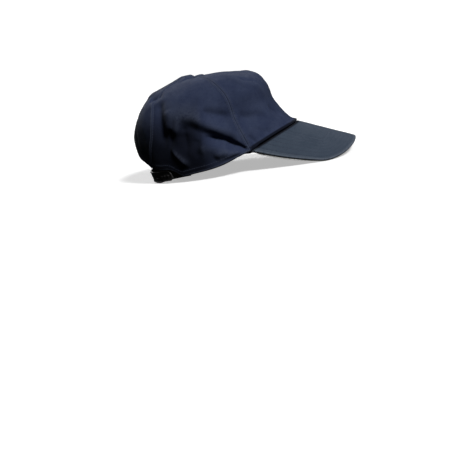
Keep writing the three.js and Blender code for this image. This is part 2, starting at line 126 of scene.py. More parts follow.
BACK_SEAM = np.array([(8, 157), (20, 149.5), (32, 141), (42, 140.5), (52, 146), (62, 149), (74, 155),
                      (90, 160.)])
OPENING_EDGE = np.array([(0, 1), (0.25, 0.86), (0.5, 0.56), (0.7, 0.44), (0.8, 0.405), (0.87, 0.32),
                         (0.94, 0.17), (1, 0.07)])

# Main folds, as in the solids: path of (bearing, elevation), then the depth in (-) or out (+) and the half
# width, as shares of FOLD_DEPTH and FOLD_WIDTH
MAIN_FOLDS = [
    ([(-76, 8), (-83, 14.6), (-94.5, 21.8), (-104, 28.6), (-116, 33)], -0.85, 0.8),
    ([(-80, 18), (-92, 27), (-104, 34), (-116, 39)], 0.4, 1.3),
    ([(-82, 8), (-94, 12), (-104, 16)], 0.45, 1.1),
    ([(-84, 33), (-67, 27), (-50, 21)], -0.5, 1.6),
    ([(-136, 52), (-130, 42), (-130, 30), (-131, 22)], -0.6, 0.9),
    ([(-122, 44), (-120, 34), (-119, 24)], 0.3, 1.1),
    ([(-126, 22), (-120, 14), (-115, 6)], 0.4, 0.8),
    ([(-158, 53), (-148, 56), (-140, 60)], -0.45, 0.8),
    ([(-31, 24), (-23, 18), (-19, 12)], -0.3, 0.6),
    ([(78, 9), (92, 20), (112, 31)], -0.6, 1.0),
    ([(84, 33), (67, 28), (50, 22)], -0.4, 1.6),
    ([(134, 50), (130, 36), (131, 24)], -0.4, 1.0),
]
# Finer creases and ridges of the worn cloth: path, depth in mm, and the half width in mm, or two of them,
# above and below the path
FINE_FOLDS = [
    # sharp line of the long crease, the cloth that hangs over it, and the shelf below it
    ([(-70, 1), (-74.3, 6.2), (-83, 14.2), (-90.8, 17.9), (-99, 21)], -4.2, 2.3, 8),
    ([(-72, 8), (-79, 15.5), (-87, 21.5), (-95, 26)], 1.8, 9, 3.4),
    ([(-74, 1), (-82, 4.5), (-90, 6), (-96, 5.5)], 3.4, 6),
    ([(-99, 12), (-106, 14), (-114, 14)], 1.6, 7),
    # dark hollow behind the ear, with the soft ridges that cross it
    ([(-90, 27), (-101, 35), (-115, 40), (-130, 45), (-142, 50)], 2.2, 16, 9),
    ([(-96, 18), (-108, 23), (-122, 27), (-136, 32)], -3.4, 7, 17),
    ([(-103, 21), (-106, 15), (-106, 9)], -1.6, 4.5),
    ([(-141, 50), (-136, 42), (-134, 32), (-136, 22), (-139, 12)], -1.8, 12),
    ([(-137, 54), (-131.1, 45), (-129.8, 36), (-130.4, 27), (-131, 21)], -0.6, 5),
    ([(-112, 38), (-114.7, 31), (-117, 24.8), (-119.2, 18.4)], 1.6, 4),
    ([(-125, 21), (-120, 13), (-115, 5)], 1.8, 3.4),
    ([(-121, 32), (-123, 25), (-127, 15)], -2.0, 3.6),
    ([(-109, 31), (-111, 24), (-112, 14)], -1.8, 3.6),
    ([(-97, 23), (-100, 17), (-103, 13)], 1.0, 3),
    # dents on both sides of the front seam, at half height
    ([(-94, 36), (-86, 33), (-78, 29.5), (-71, 27)], -4.4, 6, 12),
    ([(-66, 25.5), (-58, 22), (-49, 20.5), (-40, 16.5)], -3.2, 6, 11),
    # creases at the top of the back seam
    ([(-157, 53.5), (-148.4, 55.8), (-143, 59)], -1.4, 2.6),
    ([(-166, 55), (-176, 57), (174, 57), (164, 56)], 2.0, 9, 7),
    ([(-135, 83), (180, 81), (135, 83)], 4.0, 11, 10),
    ([(-110, 85), (180, 86), (110, 85)], 1.4, 7),
    # small creases low on the front panel, and its shoulders
    ([(-30, 24.5), (-23.2, 18.5), (-19.5, 11)], -1.6, 2.1),
    ([(-32.5, 20), (-27.5, 12)], -1.1, 1.8),
    ([(-36, 68), (-44.3, 59), (-49, 50), (-46.7, 41.5), (-35, 37.3), (-31, 33.7), (-22, 24)], 1.3, 4),
    ([(-46, 46), (-37.7, 42.3), (-25.4, 40.8)], -1.0, 4.5),
    ([(-60, 14), (-52, 9), (-43, 7)], -0.8, 3, 5),
    ([(-66, 11), (-63, 5), (-62, 1)], -0.9, 2.6),
    ([(42, 48), (26, 47), (12, 45), (-2, 41)], 2.7, 9, 8),
    # creases of the left side and the back
    ([(70, 2), (76, 8), (84, 14), (96, 20), (108, 24)], -2.8, 2.4, 7),
    ([(72, 9), (82, 19), (95, 27), (110, 32)], 1.8, 8, 3.5),
    ([(30, 24), (24, 18), (20, 11)], -1.2, 2.2),
    ([(120, 44), (123, 34), (122, 22), (117, 9)], -1.8, 3.8),
    ([(135, 50), (134, 36), (137, 20)], -2.0, 8),
    ([(70, 66), (62, 55), (52, 44), (32, 35)], 0.9, 4.5),
    ([(150, 60), (158, 52), (168, 49)], -1.2, 3.5),
    ([(-172, 40), (-166, 33), (-163, 24)], -1.2, 3.2),
]


def smooth(t):
    c = np.clip(t, 0, 1)
    return c * c * (3 - 2 * c)


def table_value(knots, values, x):
    """Cubic through the knots of a table column, flat at both ends."""
    knots, values, x = np.asarray(knots, float), np.asarray(values, float), np.asarray(x, float)
    last = len(knots) - 1
    i = np.clip(np.searchsorted(knots, x, side="right") - 1, 0, last - 1)
    slopes = np.zeros_like(values)
    spans = knots[2:] - knots[:-2]
    slopes[1:-1] = (values[2:] - values[:-2]) / (spans if values.ndim == 1 else spans[:, None])

    def pick(column, j):
        return column[j] if column.ndim == 1 else np.take_along_axis(column, j[None], 0)[0]

    span = knots[i + 1] - knots[i]
    t = np.clip((x - knots[i]) / span, 0, 1)
    t2, t3 = t * t, t * t * t
    return ((2 * t3 - 3 * t2 + 1) * pick(values, i) + (t3 - 2 * t2 + t) * span * pick(slopes, i)
            + (3 * t2 - 2 * t3) * pick(values, i + 1) + (t3 - t2) * span * pick(slopes, i + 1))


def search(low, high, reached, passes=30):
    """Smallest value between low and high at which reached says yes."""
    for _ in range(passes):
        middle = (low + high) / 2
        yes = reached(middle)
        low, high = np.where(yes, low, middle), np.where(yes, middle, high)
    return (low + high) / 2


def wrapped(bearing):
    return (np.asarray(bearing, float) + 180) % 360 - 180


def plain_crown(bearing, elevation):
    b, e = np.broadcast_arrays(np.asarray(bearing, float), np.asarray(elevation, float))
    shape = b.shape
    b, e = wrapped(b).ravel(), e.ravel()
    rows = np.stack([table_value(CROWN_ELEVATIONS, r, e) for r in CROWN_RADII])
    k = table_value(CROWN_BEARINGS, rows, np.abs(b))
    t, p = np.radians(b), np.radians(e)
    out = np.stack([HALF_LENGTH * k * np.cos(p) * np.cos(t), HALF_WIDTH * k * np.cos(p) * np.sin(t),
                    CROWN_HEIGHT * k * np.sin(p)], -1)
    return out.reshape(shape + (3,))


def unit(v):
    return v / np.maximum(np.linalg.norm(v, axis=-1, keepdims=True), 1e-9)


def crown_normal(bearing, elevation, step=0.6):
    across = plain_crown(bearing + step, elevation) - plain_crown(bearing - step, elevation)
    up = plain_crown(bearing, elevation + step) - plain_crown(bearing, elevation - step)
    return unit(np.cross(across, up))


def level(normal):
    return unit(normal * np.array([1, 1, 0]))


def elevation_at(bearing, height):
    b, h = np.broadcast_arrays(np.asarray(bearing, float), np.asarray(height, float))
    low, high = np.full(b.shape, LOWEST_ANGLE), np.full(b.shape, HIGHEST_RIM_ANGLE)
    return search(low, high, lambda e: plain_crown(b, e)[..., 2] > h)


# Sheet of the bill: distance forward along its ridge, distance sideways, depth below its face
RIDGE_START = plain_crown(0.0, elevation_at(0.0, FRONT_RISE))
SLOPE = math.radians(BILL_SLOPE)
RIDGE_DIRECTION = np.array([math.cos(SLOPE), 0, -math.sin(SLOPE)])
RIDGE_NORMAL = np.array([math.sin(SLOPE), 0, math.cos(SLOPE)])
CORNER_HALF_WIDTH = abs(float(plain_crown(CORNER_BEARING, 1.0)[1]))


def curvature_for(drop):
    return 2 * drop / (CORNER_HALF_WIDTH ** 2 + drop ** 2)


def arch_depth(forward, side):
    share = np.clip((forward + BILL_CORNER_SETBACK) / (BILL_LENGTH + BILL_CORNER_SETBACK), 0, 1)
    at_corner = curvature_for(BILL_ARCH_AT_CORNER)
    curvature = at_corner + (curvature_for(BILL_ARCH_AT_TIP) - at_corner) * share
    turn = np.minimum(np.abs(side) * curvature, 0.985)
    return (1 - np.sqrt(1 - turn * turn)) / curvature


def sheet_point(forward, side):
    f, s = np.broadcast_arrays(np.asarray(forward, float), np.asarray(side, float))
    return (RIDGE_START + f[..., None] * RIDGE_DIRECTION - arch_depth(f, s)[..., None] * RIDGE_NORMAL
            + s[..., None] * np.array([0, 1, 0]))


def sheet_normal(forward, side, step=0.5):
    along = sheet_point(forward + step, side) - sheet_point(forward - step, side)
    across = sheet_point(forward, side + step) - sheet_point(forward, side - step)
    return unit(np.cross(along, across))


def sheet_place(point):
    offset = point - RIDGE_START
    return offset @ RIDGE_DIRECTION, offset[..., 1], offset @ RIDGE_NORMAL


def elevation_on_sheet(bearing, clear=SEAM_GAP):
    b = np.asarray(bearing, float)

    def above(e):
        forward, side, height = sheet_place(plain_crown(b, e))
        return height + arch_depth(forward, side) > clear

    return search(np.full(b.shape, LOWEST_ANGLE), np.full(b.shape, HIGHEST_BILL_ANGLE), above)


CORNER_HEIGHT = float(plain_crown(CORNER_BEARING, elevation_on_sheet(CORNER_BEARING))[2])


def rim_height(bearing):
    b = np.abs(wrapped(bearing))
    offset = (180 - b) / OPENING_HALF_ANGLE
    behind = SIDE_RISE * smooth((b - EAR_ANGLE) / (180 - OPENING_HALF_ANGLE - EAR_ANGLE))
    ahead = CORNER_HEIGHT * (1 - smooth((b - CORNER_BEARING) / (EAR_ANGLE - CORNER_BEARING)))
    arch = OPENING_HEIGHT * table_value(OPENING_EDGE[:, 0], OPENING_EDGE[:, 1], np.minimum(offset, 1))
    return np.where(offset < 1, arch, behind + ahead)


# Elevation of the crown's lower edge, looked up by bearing
EDGE_BEARINGS = np.linspace(0, 180, 1441)
EDGE_ELEVATIONS = np.where(EDGE_BEARINGS < CORNER_BEARING, elevation_on_sheet(EDGE_BEARINGS),
                           elevation_at(EDGE_BEARINGS, rim_height(EDGE_BEARINGS)))


def rim_elevation(bearing):
    return np.interp(np.abs(wrapped(bearing)), EDGE_BEARINGS, EDGE_ELEVATIONS)


def cloth_noise(points, size, seed):
    """Smooth noise from -1 to 1 with features about size mm across."""
    q = points / size
    cell = np.floor(q).astype(np.int64)
    f = q - cell
    f = f * f * (3 - 2 * f)
    total = np.zeros(points.shape[:-1])
    for corner in range(8):
        d = np.array([corner & 1, (corner >> 1) & 1, corner >> 2])
        n = cell + d
        h = n[..., 0] * 374761393 + n[..., 1] * 668265263 + n[..., 2] * 974711177
        h = (h + seed * 1442695041) & 0xffffffff
        h = ((h ^ (h >> 13)) * 1274126177) & 0xffffffff
        value = ((h ^ (h >> 16)) & 0xffff) / 32767.5 - 1
        total += value * np.prod(np.where(d == 1, f, 1 - f), axis=-1)
    return total


def path_distance(points, path):
    """Distance of each point to a path on the crown, how far along the path it lies, from 0 to 1,
    and whether it lies above the path."""
    knots = plain_crown(*np.array(path, float).T)
    best = np.full(points.shape[:-1], 1e9)
    along = np.zeros(points.shape[:-1])
    above = np.zeros(points.shape[:-1], bool)
    for i in range(len(knots) - 1):
        a, d = knots[i], knots[i + 1] - knots[i]
        t = np.clip((points - a) @ d / (d @ d), 0, 1)
        gap = np.linalg.norm(points - a - t[..., None] * d, axis=-1)
        closer = gap < best
        best = np.where(closer, gap, best)
        along = np.where(closer, (i + t) / (len(knots) - 1), along)
        above = np.where(closer, points[..., 2] > a[2] + t * d[2], above)
    return best, along, above


def fold_heights(points, folds, depth_unit=1, width_unit=1):
    """Distance outwards that the folds move the cloth."""
    total = np.zeros(points.shape[:-1])
    for path, depth, *widths in folds:
        gap, along, above = path_distance(points, path)
        taper = smooth(along * 5 + 0.2) * smooth((1 - along) * 3 + 0.1)
        width = width_unit * np.where(above, widths[0], widths[-1])
        total += depth_unit * depth * taper * np.exp(-(gap / width) ** 2)
    return total


# Seams of the crown: bearing at each elevation, half width of the raised band, and stitch rows beside it
def front_seam(elevation):
    return table_value(FRONT_SEAM[:, 0], FRONT_SEAM[:, 1], elevation)


def back_seam(elevation):
    return table_value(BACK_SEAM[:, 0], BACK_SEAM[:, 1], elevation)


# where it runs, side, raised by, half width of the band, depth of the groove, distances of its stitch rows
SEAMS = [
    (front_seam, -1, 0.35, 3.4, 0.8, (-2.4, 2.4)),
    (front_seam, 1, 0.35, 3.4, 0.8, (-2.4, 2.4)),
    (back_seam, -1, 0.65, 1.7, 0.5, (2.4,)),
    (back_seam, 1, 0.65, 1.7, 0.5, (2.4,)),
    (lambda e: np.full(np.shape(e), 180.0), 1, 0.4, 2.0, 0.5, (-2.6, 2.6)),
]
GROOVE_HALF = 0.6
STITCH_DENT = 0.3
STITCH_DENT_HALF = 0.5
PUCKER = 0.28
PUCKER_REACH = 6
PUCKER_STRETCH = np.array([1, 1, 1.6])
SEAM_TAPE = 0.6
SEAM_TAPE_HALF = 7
HEM_ROW = 5.5
HEM_ROLL = 1.9
HEM_ROLL_HALF = 2.6
HEM_WIDTH = 7.5
HEM_STEP = 0.45
# noise of the cloth: height, size and seed
WAVES = ((0.55, 26, 3), (0.25, 11, 5), (0.1, 5, 9))


def millimetres_per_degree(bearing, elevation):
    span = plain_crown(bearing + 0.5, elevation) - plain_crown(bearing - 0.5, elevation)
    return np.linalg.norm(span, axis=-1)


def seam_distance(seam, bearing, elevation):
    run, side = seam[0], seam[1]
    return wrapped(bearing - side * run(elevation)) * millimetres_per_degree(bearing, elevation)


def over_bill(bearing, reach=0, blend=None):
    """Share, from 0 to 1, in which a bearing lies over the bill. With no blend it is either 0 or 1."""
    inside = CORNER_BEARING + reach - np.abs(wrapped(bearing))
    return (inside > 0) * 1.0 if blend is None else smooth(inside / blend)


def relief(bearing, elevation):
    """Outer and inner height of the cloth over the plain crown, its wear, and its distance from the rim."""
    base = plain_crown(bearing, elevation)
    above = np.linalg.norm(base - plain_crown(bearing, rim_elevation(bearing)), axis=-1)
    broad = fold_heights(base, MAIN_FOLDS, FOLD_DEPTH, FOLD_WIDTH)
    fine = fold_heights(base, FINE_FOLDS)
    waves = sum(height * cloth_noise(base, size, seed) for height, size, seed in WAVES)
    folds = broad * smooth(above / HEM_FADE) + fine * smooth(above / 5) + waves * smooth(above / 10)
    outer, inner = folds.copy(), folds.copy()
    wear = np.clip(0.12 * (fine + 0.5 * broad), 0, 0.35)
    below_top = 1 - smooth((elevation - 74) / 8)
    for seam in SEAMS:
        _, _, raised, half, groove, rows = seam
        d = seam_distance(seam, bearing, elevation)
        a = np.abs(d)
        band = smooth((half + 0.9 - a) / 1.4)
        pucker = PUCKER * np.exp(-(a / PUCKER_REACH) ** 2) * cloth_noise(base * PUCKER_STRETCH, 4.2, 17)
        outer += raised * band - groove * np.exp(-(a / GROOVE_HALF) ** 2) + pucker * below_top
        for row in rows:
            outer -= STITCH_DENT * np.exp(-((d - row) / STITCH_DENT_HALF) ** 2)
        inner -= SEAM_TAPE * smooth((SEAM_TAPE_HALF - a) / 1.2)
        wear += 0.42 * np.exp(-((a - 0.8) / 0.6) ** 2) + 0.08 * band
    # turned hem, with its stitch row where it is free of the bill
    covered = over_bill(bearing)
    outer += HEM_ROLL * np.exp(-((above - 1) / HEM_ROLL_HALF) ** 2) * over_bill(bearing, 6, 12)
    outer += HEM_STEP * smooth((HEM_WIDTH - above) / 1.5) * (1 - 0.7 * covered)
    outer -= 0.35 * np.exp(-((above - HEM_ROW) / STITCH_DENT_HALF) ** 2) * (1 - covered)
    wear += 0.9 * np.exp(-(above / 0.9) ** 2) * (1 - covered)
    return outer, inner, np.clip(wear, 0, 1), above


def crown_surface(bearing, elevation):
    outer = relief(bearing, elevation)[0]
    normal = crown_normal(bearing, elevation)
    return plain_crown(bearing, elevation) + outer[..., None] * normal, normal


# Bill: plan outline and surface
def outline(share):
    corner_forward, corner_side, _ = sheet_place(plain_crown(CORNER_BEARING, rim_elevation(CORNER_BEARING)))
    start = corner_forward + BILL_END_WIDTH
    t = np.clip(share / BILL_TURN_AT, 0, 1)
    near_forward = start + (BILL_WIDEST - start) * t
    near_side = corner_side + (BILL_HALF_WIDTH - corner_side) * np.sin(t * np.pi / 2)
    turn = np.clip((share - BILL_TURN_AT) / (1 - BILL_TURN_AT), 0, 1) * np.pi / 2
    far_forward = BILL_WIDEST + (BILL_LENGTH - BILL_WIDEST) * np.sin(turn) ** BILL_FRONT_BULGE
    far_side = BILL_HALF_WIDTH * np.maximum(np.cos(turn), 0) ** BILL_SIDE_BULGE
    first = share < BILL_TURN_AT
    return np.where(first, near_forward, far_forward), np.where(first, near_side, far_side)


def bill_place(across, out):
    """Forward and sideways distance on the bill's sheet, at shares of its width and its length."""
    bearing = across * CORNER_BEARING * BILL_SPAN
    rim_forward, rim_side, _ = sheet_place(plain_crown(bearing, rim_elevation(bearing)))
    end_forward, end_side = outline(1 - np.abs(across))
    forward = rim_forward + (end_forward - rim_forward) * out
    side = rim_side + (np.where(across < 0, -1, 1) * end_side - rim_side) * out
    return forward, side, np.hypot(forward - rim_forward, side - rim_side)


def bill_down(forward, side, reach):
    turned = smooth(reach / BILL_TURN_IN)[..., None]
    return unit((1 - turned) * np.array([0, 0, 1]) + turned * sheet_normal(forward, side))


def bill_surface(across, out, depth):
    forward, side, reach = bill_place(across, out)
    return sheet_point(forward, side) - depth * bill_down(forward, side, reach)


STRAP_MIDDLE = STRAP_RISE + STRAP_HEIGHT / 2


def strap_plan(bearing, inwards):
    elevation = elevation_at(bearing, STRAP_MIDDLE)
    facing = level(crown_normal(bearing, elevation))
    plan = plain_crown(bearing, elevation) - np.asarray(inwards)[..., None] * facing
    return plan * np.array([1, 1, 0])


def strap_curve(bearing):
    offset = (180 - np.abs(wrapped(bearing))) / OPENING_HALF_ANGLE
    return STRAP_RISE * (1 - offset * offset)


# Standing angle of the cap, on the foot of its strap and the side edges of its bill
ALL_DEPTH = BILL_BOARD + SEAM_GAP + BILL_LINING
REST_EDGE = bill_surface(np.linspace(-1, 1, 81), np.ones(81), ALL_DEPTH)
BACK_FOOT = strap_plan(180.0, 0.0) + np.array([0, 0, STRAP_RISE])
STANDING_SLOPE = float(np.max((BACK_FOOT[2] - REST_EDGE[:, 2]) / (REST_EDGE[:, 0] - BACK_FOOT[0])))
STANDING = math.atan(STANDING_SLOPE)


def stood(points):
    """Points of the upright cap as it stands on the floor, before its outline is centred."""
    c, s = math.cos(STANDING), math.sin(STANDING)
    x, y, z = points[..., 0], points[..., 1], points[..., 2]
    return np.stack([x * c - z * s, y, x * s + z * c], -1)


MILLIMETRE = 0.001
TIP = stood(bill_surface(np.array([0.0]), np.array([1.0]), 0.0))[0]
SHIFT = np.array([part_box("bill")[1][0] / MILLIMETRE - TIP[0], 0, -float(stood(BACK_FOOT)[2])])


def placed(points):
    return (stood(points) + SHIFT) * MILLIMETRE


# Materials
def feed(tree, socket, value):
    """Link an output to the socket, or set the socket to a plain value."""
    if hasattr(value, "is_output"):
        tree.links.new(value, socket)
    else:
        socket.default_value = value


def add_node(tree, kind, inputs=None, **settings):
    made = tree.nodes.new(kind)
    for name, value in settings.items():
        setattr(made, name, value)
    for name, value in (inputs or {}).items():
        feed(tree, made.inputs[name], value)
    return made


def new_material(name):
    material = bpy.data.materials.new(name)
    material.use_nodes = True
    tree = material.node_tree
    return material, tree, tree.nodes["Principled BSDF"]


def mixed(tree, kind, factor, first, second):
    made = add_node(tree, "ShaderNodeMix", data_type="RGBA", blend_type=kind)
    for index, value in ((0, factor), (6, first), (7, second)):
        feed(tree, made.inputs[index], value)
    return made.outputs[2]


def ramp(tree, factor, low, high):
    made = add_node(tree, "ShaderNodeMapRange", {"Value": factor, "From Min": low, "From Max": high})
    made.interpolation_type = "SMOOTHSTEP"
    return made.outputs["Result"]


def math_node(tree, kind, a, b):
    made = add_node(tree, "ShaderNodeMath", operation=kind)
    feed(tree, made.inputs[0], a)
    feed(tree, made.inputs[1], b)
    return made.outputs[0]


def attribute(tree, name, output="Fac"):
    return add_node(tree, "ShaderNodeAttribute", attribute_name=name).outputs[output]


def noise(tree, place, scale, detail, roughness=0.5):
    inputs = {"Vector": place, "Scale": scale, "Detail": detail, "Roughness": roughness}
    return add_node(tree, "ShaderNodeTexNoise", inputs).outputs["Fac"]


def ribs(tree, place, pitch, way, distortion):
    """Parallel ribs: the wave texture has one crest in 2 pi / 20 of its own units."""
    inputs = {"Vector": place, "Scale": 2 * math.pi / 20 / pitch, "Distortion": distortion, "Detail": 1.0,
              "Detail Scale": 2.0}
    return add_node(tree, "ShaderNodeTexWave", inputs, bands_direction=way).outputs["Fac"]


def rgba(*values):
    return tuple(values) + (1.0,)


def cloth_material(name, deep, base, faded, worn, pitch, lean, roughness, sheen, weave_depth, unfaded_and_shade=None):
    """Twill: diagonal ribs with painted shade in the valleys between them, uneven dye, rubbed edges, and a
    dark colour where the fade share is low, which is partly unfaded dye and partly painted shade. The lengths
    are in mm on the piece's own cloth map.
    """
    material, tree, shader = new_material(name)
    cloth = attribute(tree, "cloth", "Vector")
    turned = add_node(tree, "ShaderNodeMapping", {"Vector": cloth, "Rotation": (0, 0, math.radians(lean))})
    stretched = add_node(tree, "ShaderNodeMapping", {"Vector": cloth, "Scale": (0.25, 2.6, 1)})
    rib = ribs(tree, turned.outputs[0], pitch, "X", 0.6)
    thread = ribs(tree, cloth, pitch * 0.55, "Y", 0.8)
    blotch = noise(tree, cloth, 0.045, 3.0, 0.6)
    mottle = noise(tree, cloth, 0.33, 4.0, 0.62)
    slub = noise(tree, cloth, 1.7, 3.0, 0.7)
    streak = noise(tree, stretched.outputs[0], 0.8, 2.0)
    patches = math_node(tree, "MULTIPLY", ramp(tree, mottle, 0.5, 0.78), 0.45)
    streaks = math_node(tree, "MULTIPLY", ramp(tree, streak, 0.52, 0.8), 0.3)
    colour = mixed(tree, "MIX", ramp(tree, blotch, 0.35, 0.68), rgba(*base), rgba(*faded))
    colour = mixed(tree, "MIX", patches, colour, rgba(*deep))
    colour = mixed(tree, "MIX", streaks, colour, rgba(*faded))
    # Where the fade share is low the colour turns to the dark one given: unfaded dye in part and painted
    # shade in part.
    if unfaded_and_shade:
        colour = mixed(tree, "MIX", attribute(tree, "fade_and_shade"), rgba(*unfaded_and_shade), colour)
    rubbed = math_node(tree, "MULTIPLY", attribute(tree, "wear"), ramp(tree, mottle, 0.25, 0.6))
    rubbed = math_node(tree, "MINIMUM", math_node(tree, "MULTIPLY", rubbed, 1.1), 0.85)
    colour = mixed(tree, "MIX", rubbed, colour, rgba(*worn))
    # painted shade: the valleys between the ribs are darkened, for the shade between the threads
    rib_valley_shade = math_node(tree, "SUBTRACT", 1.0, ramp(tree, rib, 0.0, 0.45))
    colour = mixed(tree, "MULTIPLY", rib_valley_shade, colour, rgba(0.55, 0.56, 0.62))
    tree.links.new(colour, shader.inputs["Base Color"])
    height = math_node(tree, "ADD", math_node(tree, "MULTIPLY", rib, 0.7),
                       math_node(tree, "MULTIPLY", thread, 0.3))
    height = math_node(tree, "ADD", height, math_node(tree, "MULTIPLY", slub, 0.8))
    bump = add_node(tree, "ShaderNodeBump", {"Height": height, "Strength": 0.75, "Distance": weave_depth})
    tree.links.new(bump.outputs[0], shader.inputs["Normal"])
    spread = {"Value": mottle, "To Min": roughness - 0.08, "To Max": roughness + 0.08}
    tree.links.new(add_node(tree, "ShaderNodeMapRange", spread).outputs[0], shader.inputs["Roughness"])
    shader.inputs["Specular IOR Level"].default_value = 0.15
    shader.inputs["Sheen Weight"].default_value = sheen
    shader.inputs["Sheen Roughness"].default_value = 0.45
    shader.inputs["Sheen Tint"].default_value = rgba(0.62, 0.7, 0.9)
    return material


# The dark colours given as unfaded: low at the back of the crown they are partly unfaded dye and partly
# painted shade; on the crown's hem over the bill, the bill's strip along the crown and the sweatband behind
# the bill they are painted shade.
navy = cloth_material("navy_twill", (0.014, 0.021, 0.050), (0.029, 0.041, 0.088), (0.041, 0.055, 0.106),
                      (0.085, 0.102, 0.150), 0.8, 62, 0.88, 0.04, 0.00016, unfaded_and_shade=(0.004, 0.006, 0.015))
bill_cloth = cloth_material("bill_twill", (0.034, 0.048, 0.072), (0.050, 0.069, 0.100), (0.060, 0.080, 0.112),
                            (0.125, 0.150, 0.185), 0.8, 35, 0.84, 0.1, 0.00014, unfaded_and_shade=(0.004, 0.005, 0.010))
lining_cloth = cloth_material("under_bill_cloth", (0.26, 0.26, 0.25), (0.36, 0.36, 0.35), (0.42, 0.42, 0.41),
                              (0.85, 0.85, 0.82), 0.9, 45, 0.9, 0.05, 0.00010)
band_cloth = cloth_material("sweatband_cloth", (0.04, 0.045, 0.06), (0.065, 0.072, 0.092),
                            (0.085, 0.092, 0.115),
                            (0.20, 0.21, 0.24), 0.7, 50, 0.9, 0.05, 0.00012, unfaded_and_shade=(0.004, 0.005, 0.009))
thread_cloth = cloth_material("navy_thread", (0.03, 0.038, 0.07), (0.055, 0.068, 0.108), (0.075, 0.09, 0.135),
                              (0.12, 0.14, 0.19), 0.25, 30, 0.7, 0.1, 0.00005)


def plastic_material():
    material, tree, shader = new_material("strap_plastic")
    place = add_node(tree, "ShaderNodeTexCoord").outputs["Object"]
    grain = noise(tree, place, 900.0, 3.0)
    scuff = noise(tree, place, 120.0, 5.0, 0.7)
    dust = math_node(tree, "MULTIPLY", ramp(tree, scuff, 0.52, 0.75), 0.4)
    rubbed = math_node(tree, "MULTIPLY", attribute(tree, "wear"), 0.6)
    colour = mixed(tree, "MIX", dust, rgba(0.03, 0.03, 0.0315), rgba(0.07, 0.07, 0.072))
    colour = mixed(tree, "MIX", rubbed, colour, rgba(0.16, 0.16, 0.165))
    shader.inputs["Specular IOR Level"].default_value = 0.5
    tree.links.new(colour, shader.inputs["Base Color"])
    rough = add_node(tree, "ShaderNodeMapRange", {"Value": scuff, "To Min": 0.3, "To Max": 0.55})
    tree.links.new(rough.outputs[0], shader.inputs["Roughness"])
    bump = add_node(tree, "ShaderNodeBump", {"Height": grain, "Strength": 0.3, "Distance": 0.0001})
    tree.links.new(bump.outputs[0], shader.inputs["Normal"])
    return material


plastic = plastic_material()


# Meshes
def add_piece(name, points, faces, material, replaces=(), cloth=None, wear=None, sharp=None, fade_and_shade=None):
    mesh = bpy.data.meshes.new(name)
    whole_faces = [tuple(int(i) for i in face) for face in faces]
    mesh.from_pydata(placed(np.asarray(points, float)).tolist(), [], whole_faces)
    if cloth is not None:
        mesh.attributes.new("cloth", "FLOAT_VECTOR", "POINT").data.foreach_set("vector", np.ravel(cloth))
    if wear is None:
        wear = np.zeros(len(points))
    mesh.attributes.new("wear", "FLOAT", "POINT").data.foreach_set("value", np.ravel(wear))
    # Share of the cloth's lighter colour; low values give the dark colour, which is unfaded dye in places and
    # painted shade in others.
    if fade_and_shade is None:
        fade_and_shade = np.ones(len(points))
    mesh.attributes.new("fade_and_shade", "FLOAT", "POINT").data.foreach_set("value", np.ravel(fade_and_shade))
    mesh.validate()
    mesh.polygons.foreach_set("use_smooth", np.ones(len(mesh.polygons), bool))
    if sharp is not None:
        mesh.set_sharp_from_angle(angle=math.radians(sharp))
    mesh.materials.append(material)
    piece = bpy.data.objects.new(name, mesh)
    bpy.context.scene.collection.objects.link(piece)
    if replaces:
        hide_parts(*replaces)
    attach(piece, "root")
    return piece


def closed_faces(rows, columns):
    """Faces of a grid of points whose first and last rows join, with both of its ends closed."""
    ids = np.arange(rows * columns).reshape(rows, columns)
    a, b, c, d = ids[:-1, :-1], ids[:-1, 1:], ids[1:, 1:], ids[1:, :-1]
    faces = np.stack([a, d, c, b], -1).reshape(-1, 4).tolist()
    faces += np.stack([ids[0, :-1], ids[0, 1:], ids[-1, 1:], ids[-1, :-1]], -1).tolist()
    for line, flip in ((ids[:, 0], 1), (ids[:, -1], -1)):
        for k in range(rows // 2):
            quad = list(dict.fromkeys([line[k], line[rows - 1 - k], line[rows - 2 - k], line[k + 1]]))
            if len(quad) > 2:
                faces.append(quad[::flip])
    return faces


def tube_faces(rings, sides):
    """Faces of a closed tube whose points are numbered ring by ring."""
    faces = []
    for first in range(0, (rings - 1) * sides, sides):
        for j in range(sides):
            k = (j + 1) % sides
            faces.append((first + j, first + k, first + sides + k, first + sides + j))
    return faces + [tuple(range(sides))[::-1], tuple(range((rings - 1) * sides, rings * sides))]


def distance_along(points, axis=0):
    """Distance travelled along one way of a grid of points, from 0 at its start."""
    steps = np.linalg.norm(np.diff(points, axis=axis), axis=-1)
    return np.concatenate([np.zeros_like(steps.take([0], axis)), steps.cumsum(axis)], axis)


def shell(outer, inner, edge_rows=4):
    """Closed shell between two grids of points [row][column], with a rounded lower edge.
    Gives the points, the faces and, for each point, the row and column that it belongs to."""
    rows, columns = outer.shape[:2]
    middle, half = (outer[0] + inner[0]) / 2, (outer[0] - inner[0]) / 2
    down = unit(outer[0] - outer[1])
    size = np.linalg.norm(half, axis=-1, keepdims=True)
    turns = [math.pi * k / (edge_rows + 1) for k in range(1, edge_rows + 1)]
    edge = np.stack([middle + math.cos(a) * half + math.sin(a) * size * down for a in turns])
    ring = np.concatenate([outer[::-1], edge, inner])
    owner = np.concatenate([np.arange(rows)[::-1], np.zeros(edge_rows, int), np.arange(rows)])
    return ring.reshape(-1, 3), closed_faces(len(ring), columns), owner


def shell_map(values, owner):
    return values[owner].reshape((-1,) + values.shape[2:])


def closer_at_ends(count, squeeze):
    t = np.linspace(0, 1, count + 1)
    return t - squeeze * np.sin(2 * np.pi * t) / (2 * np.pi)


def closer_at_start(count, squeeze):
    t = np.linspace(0, 1, count + 1)
    return t ** squeeze


HEM_LIFT = 2.2
HEM_LIFT_RUN = 9


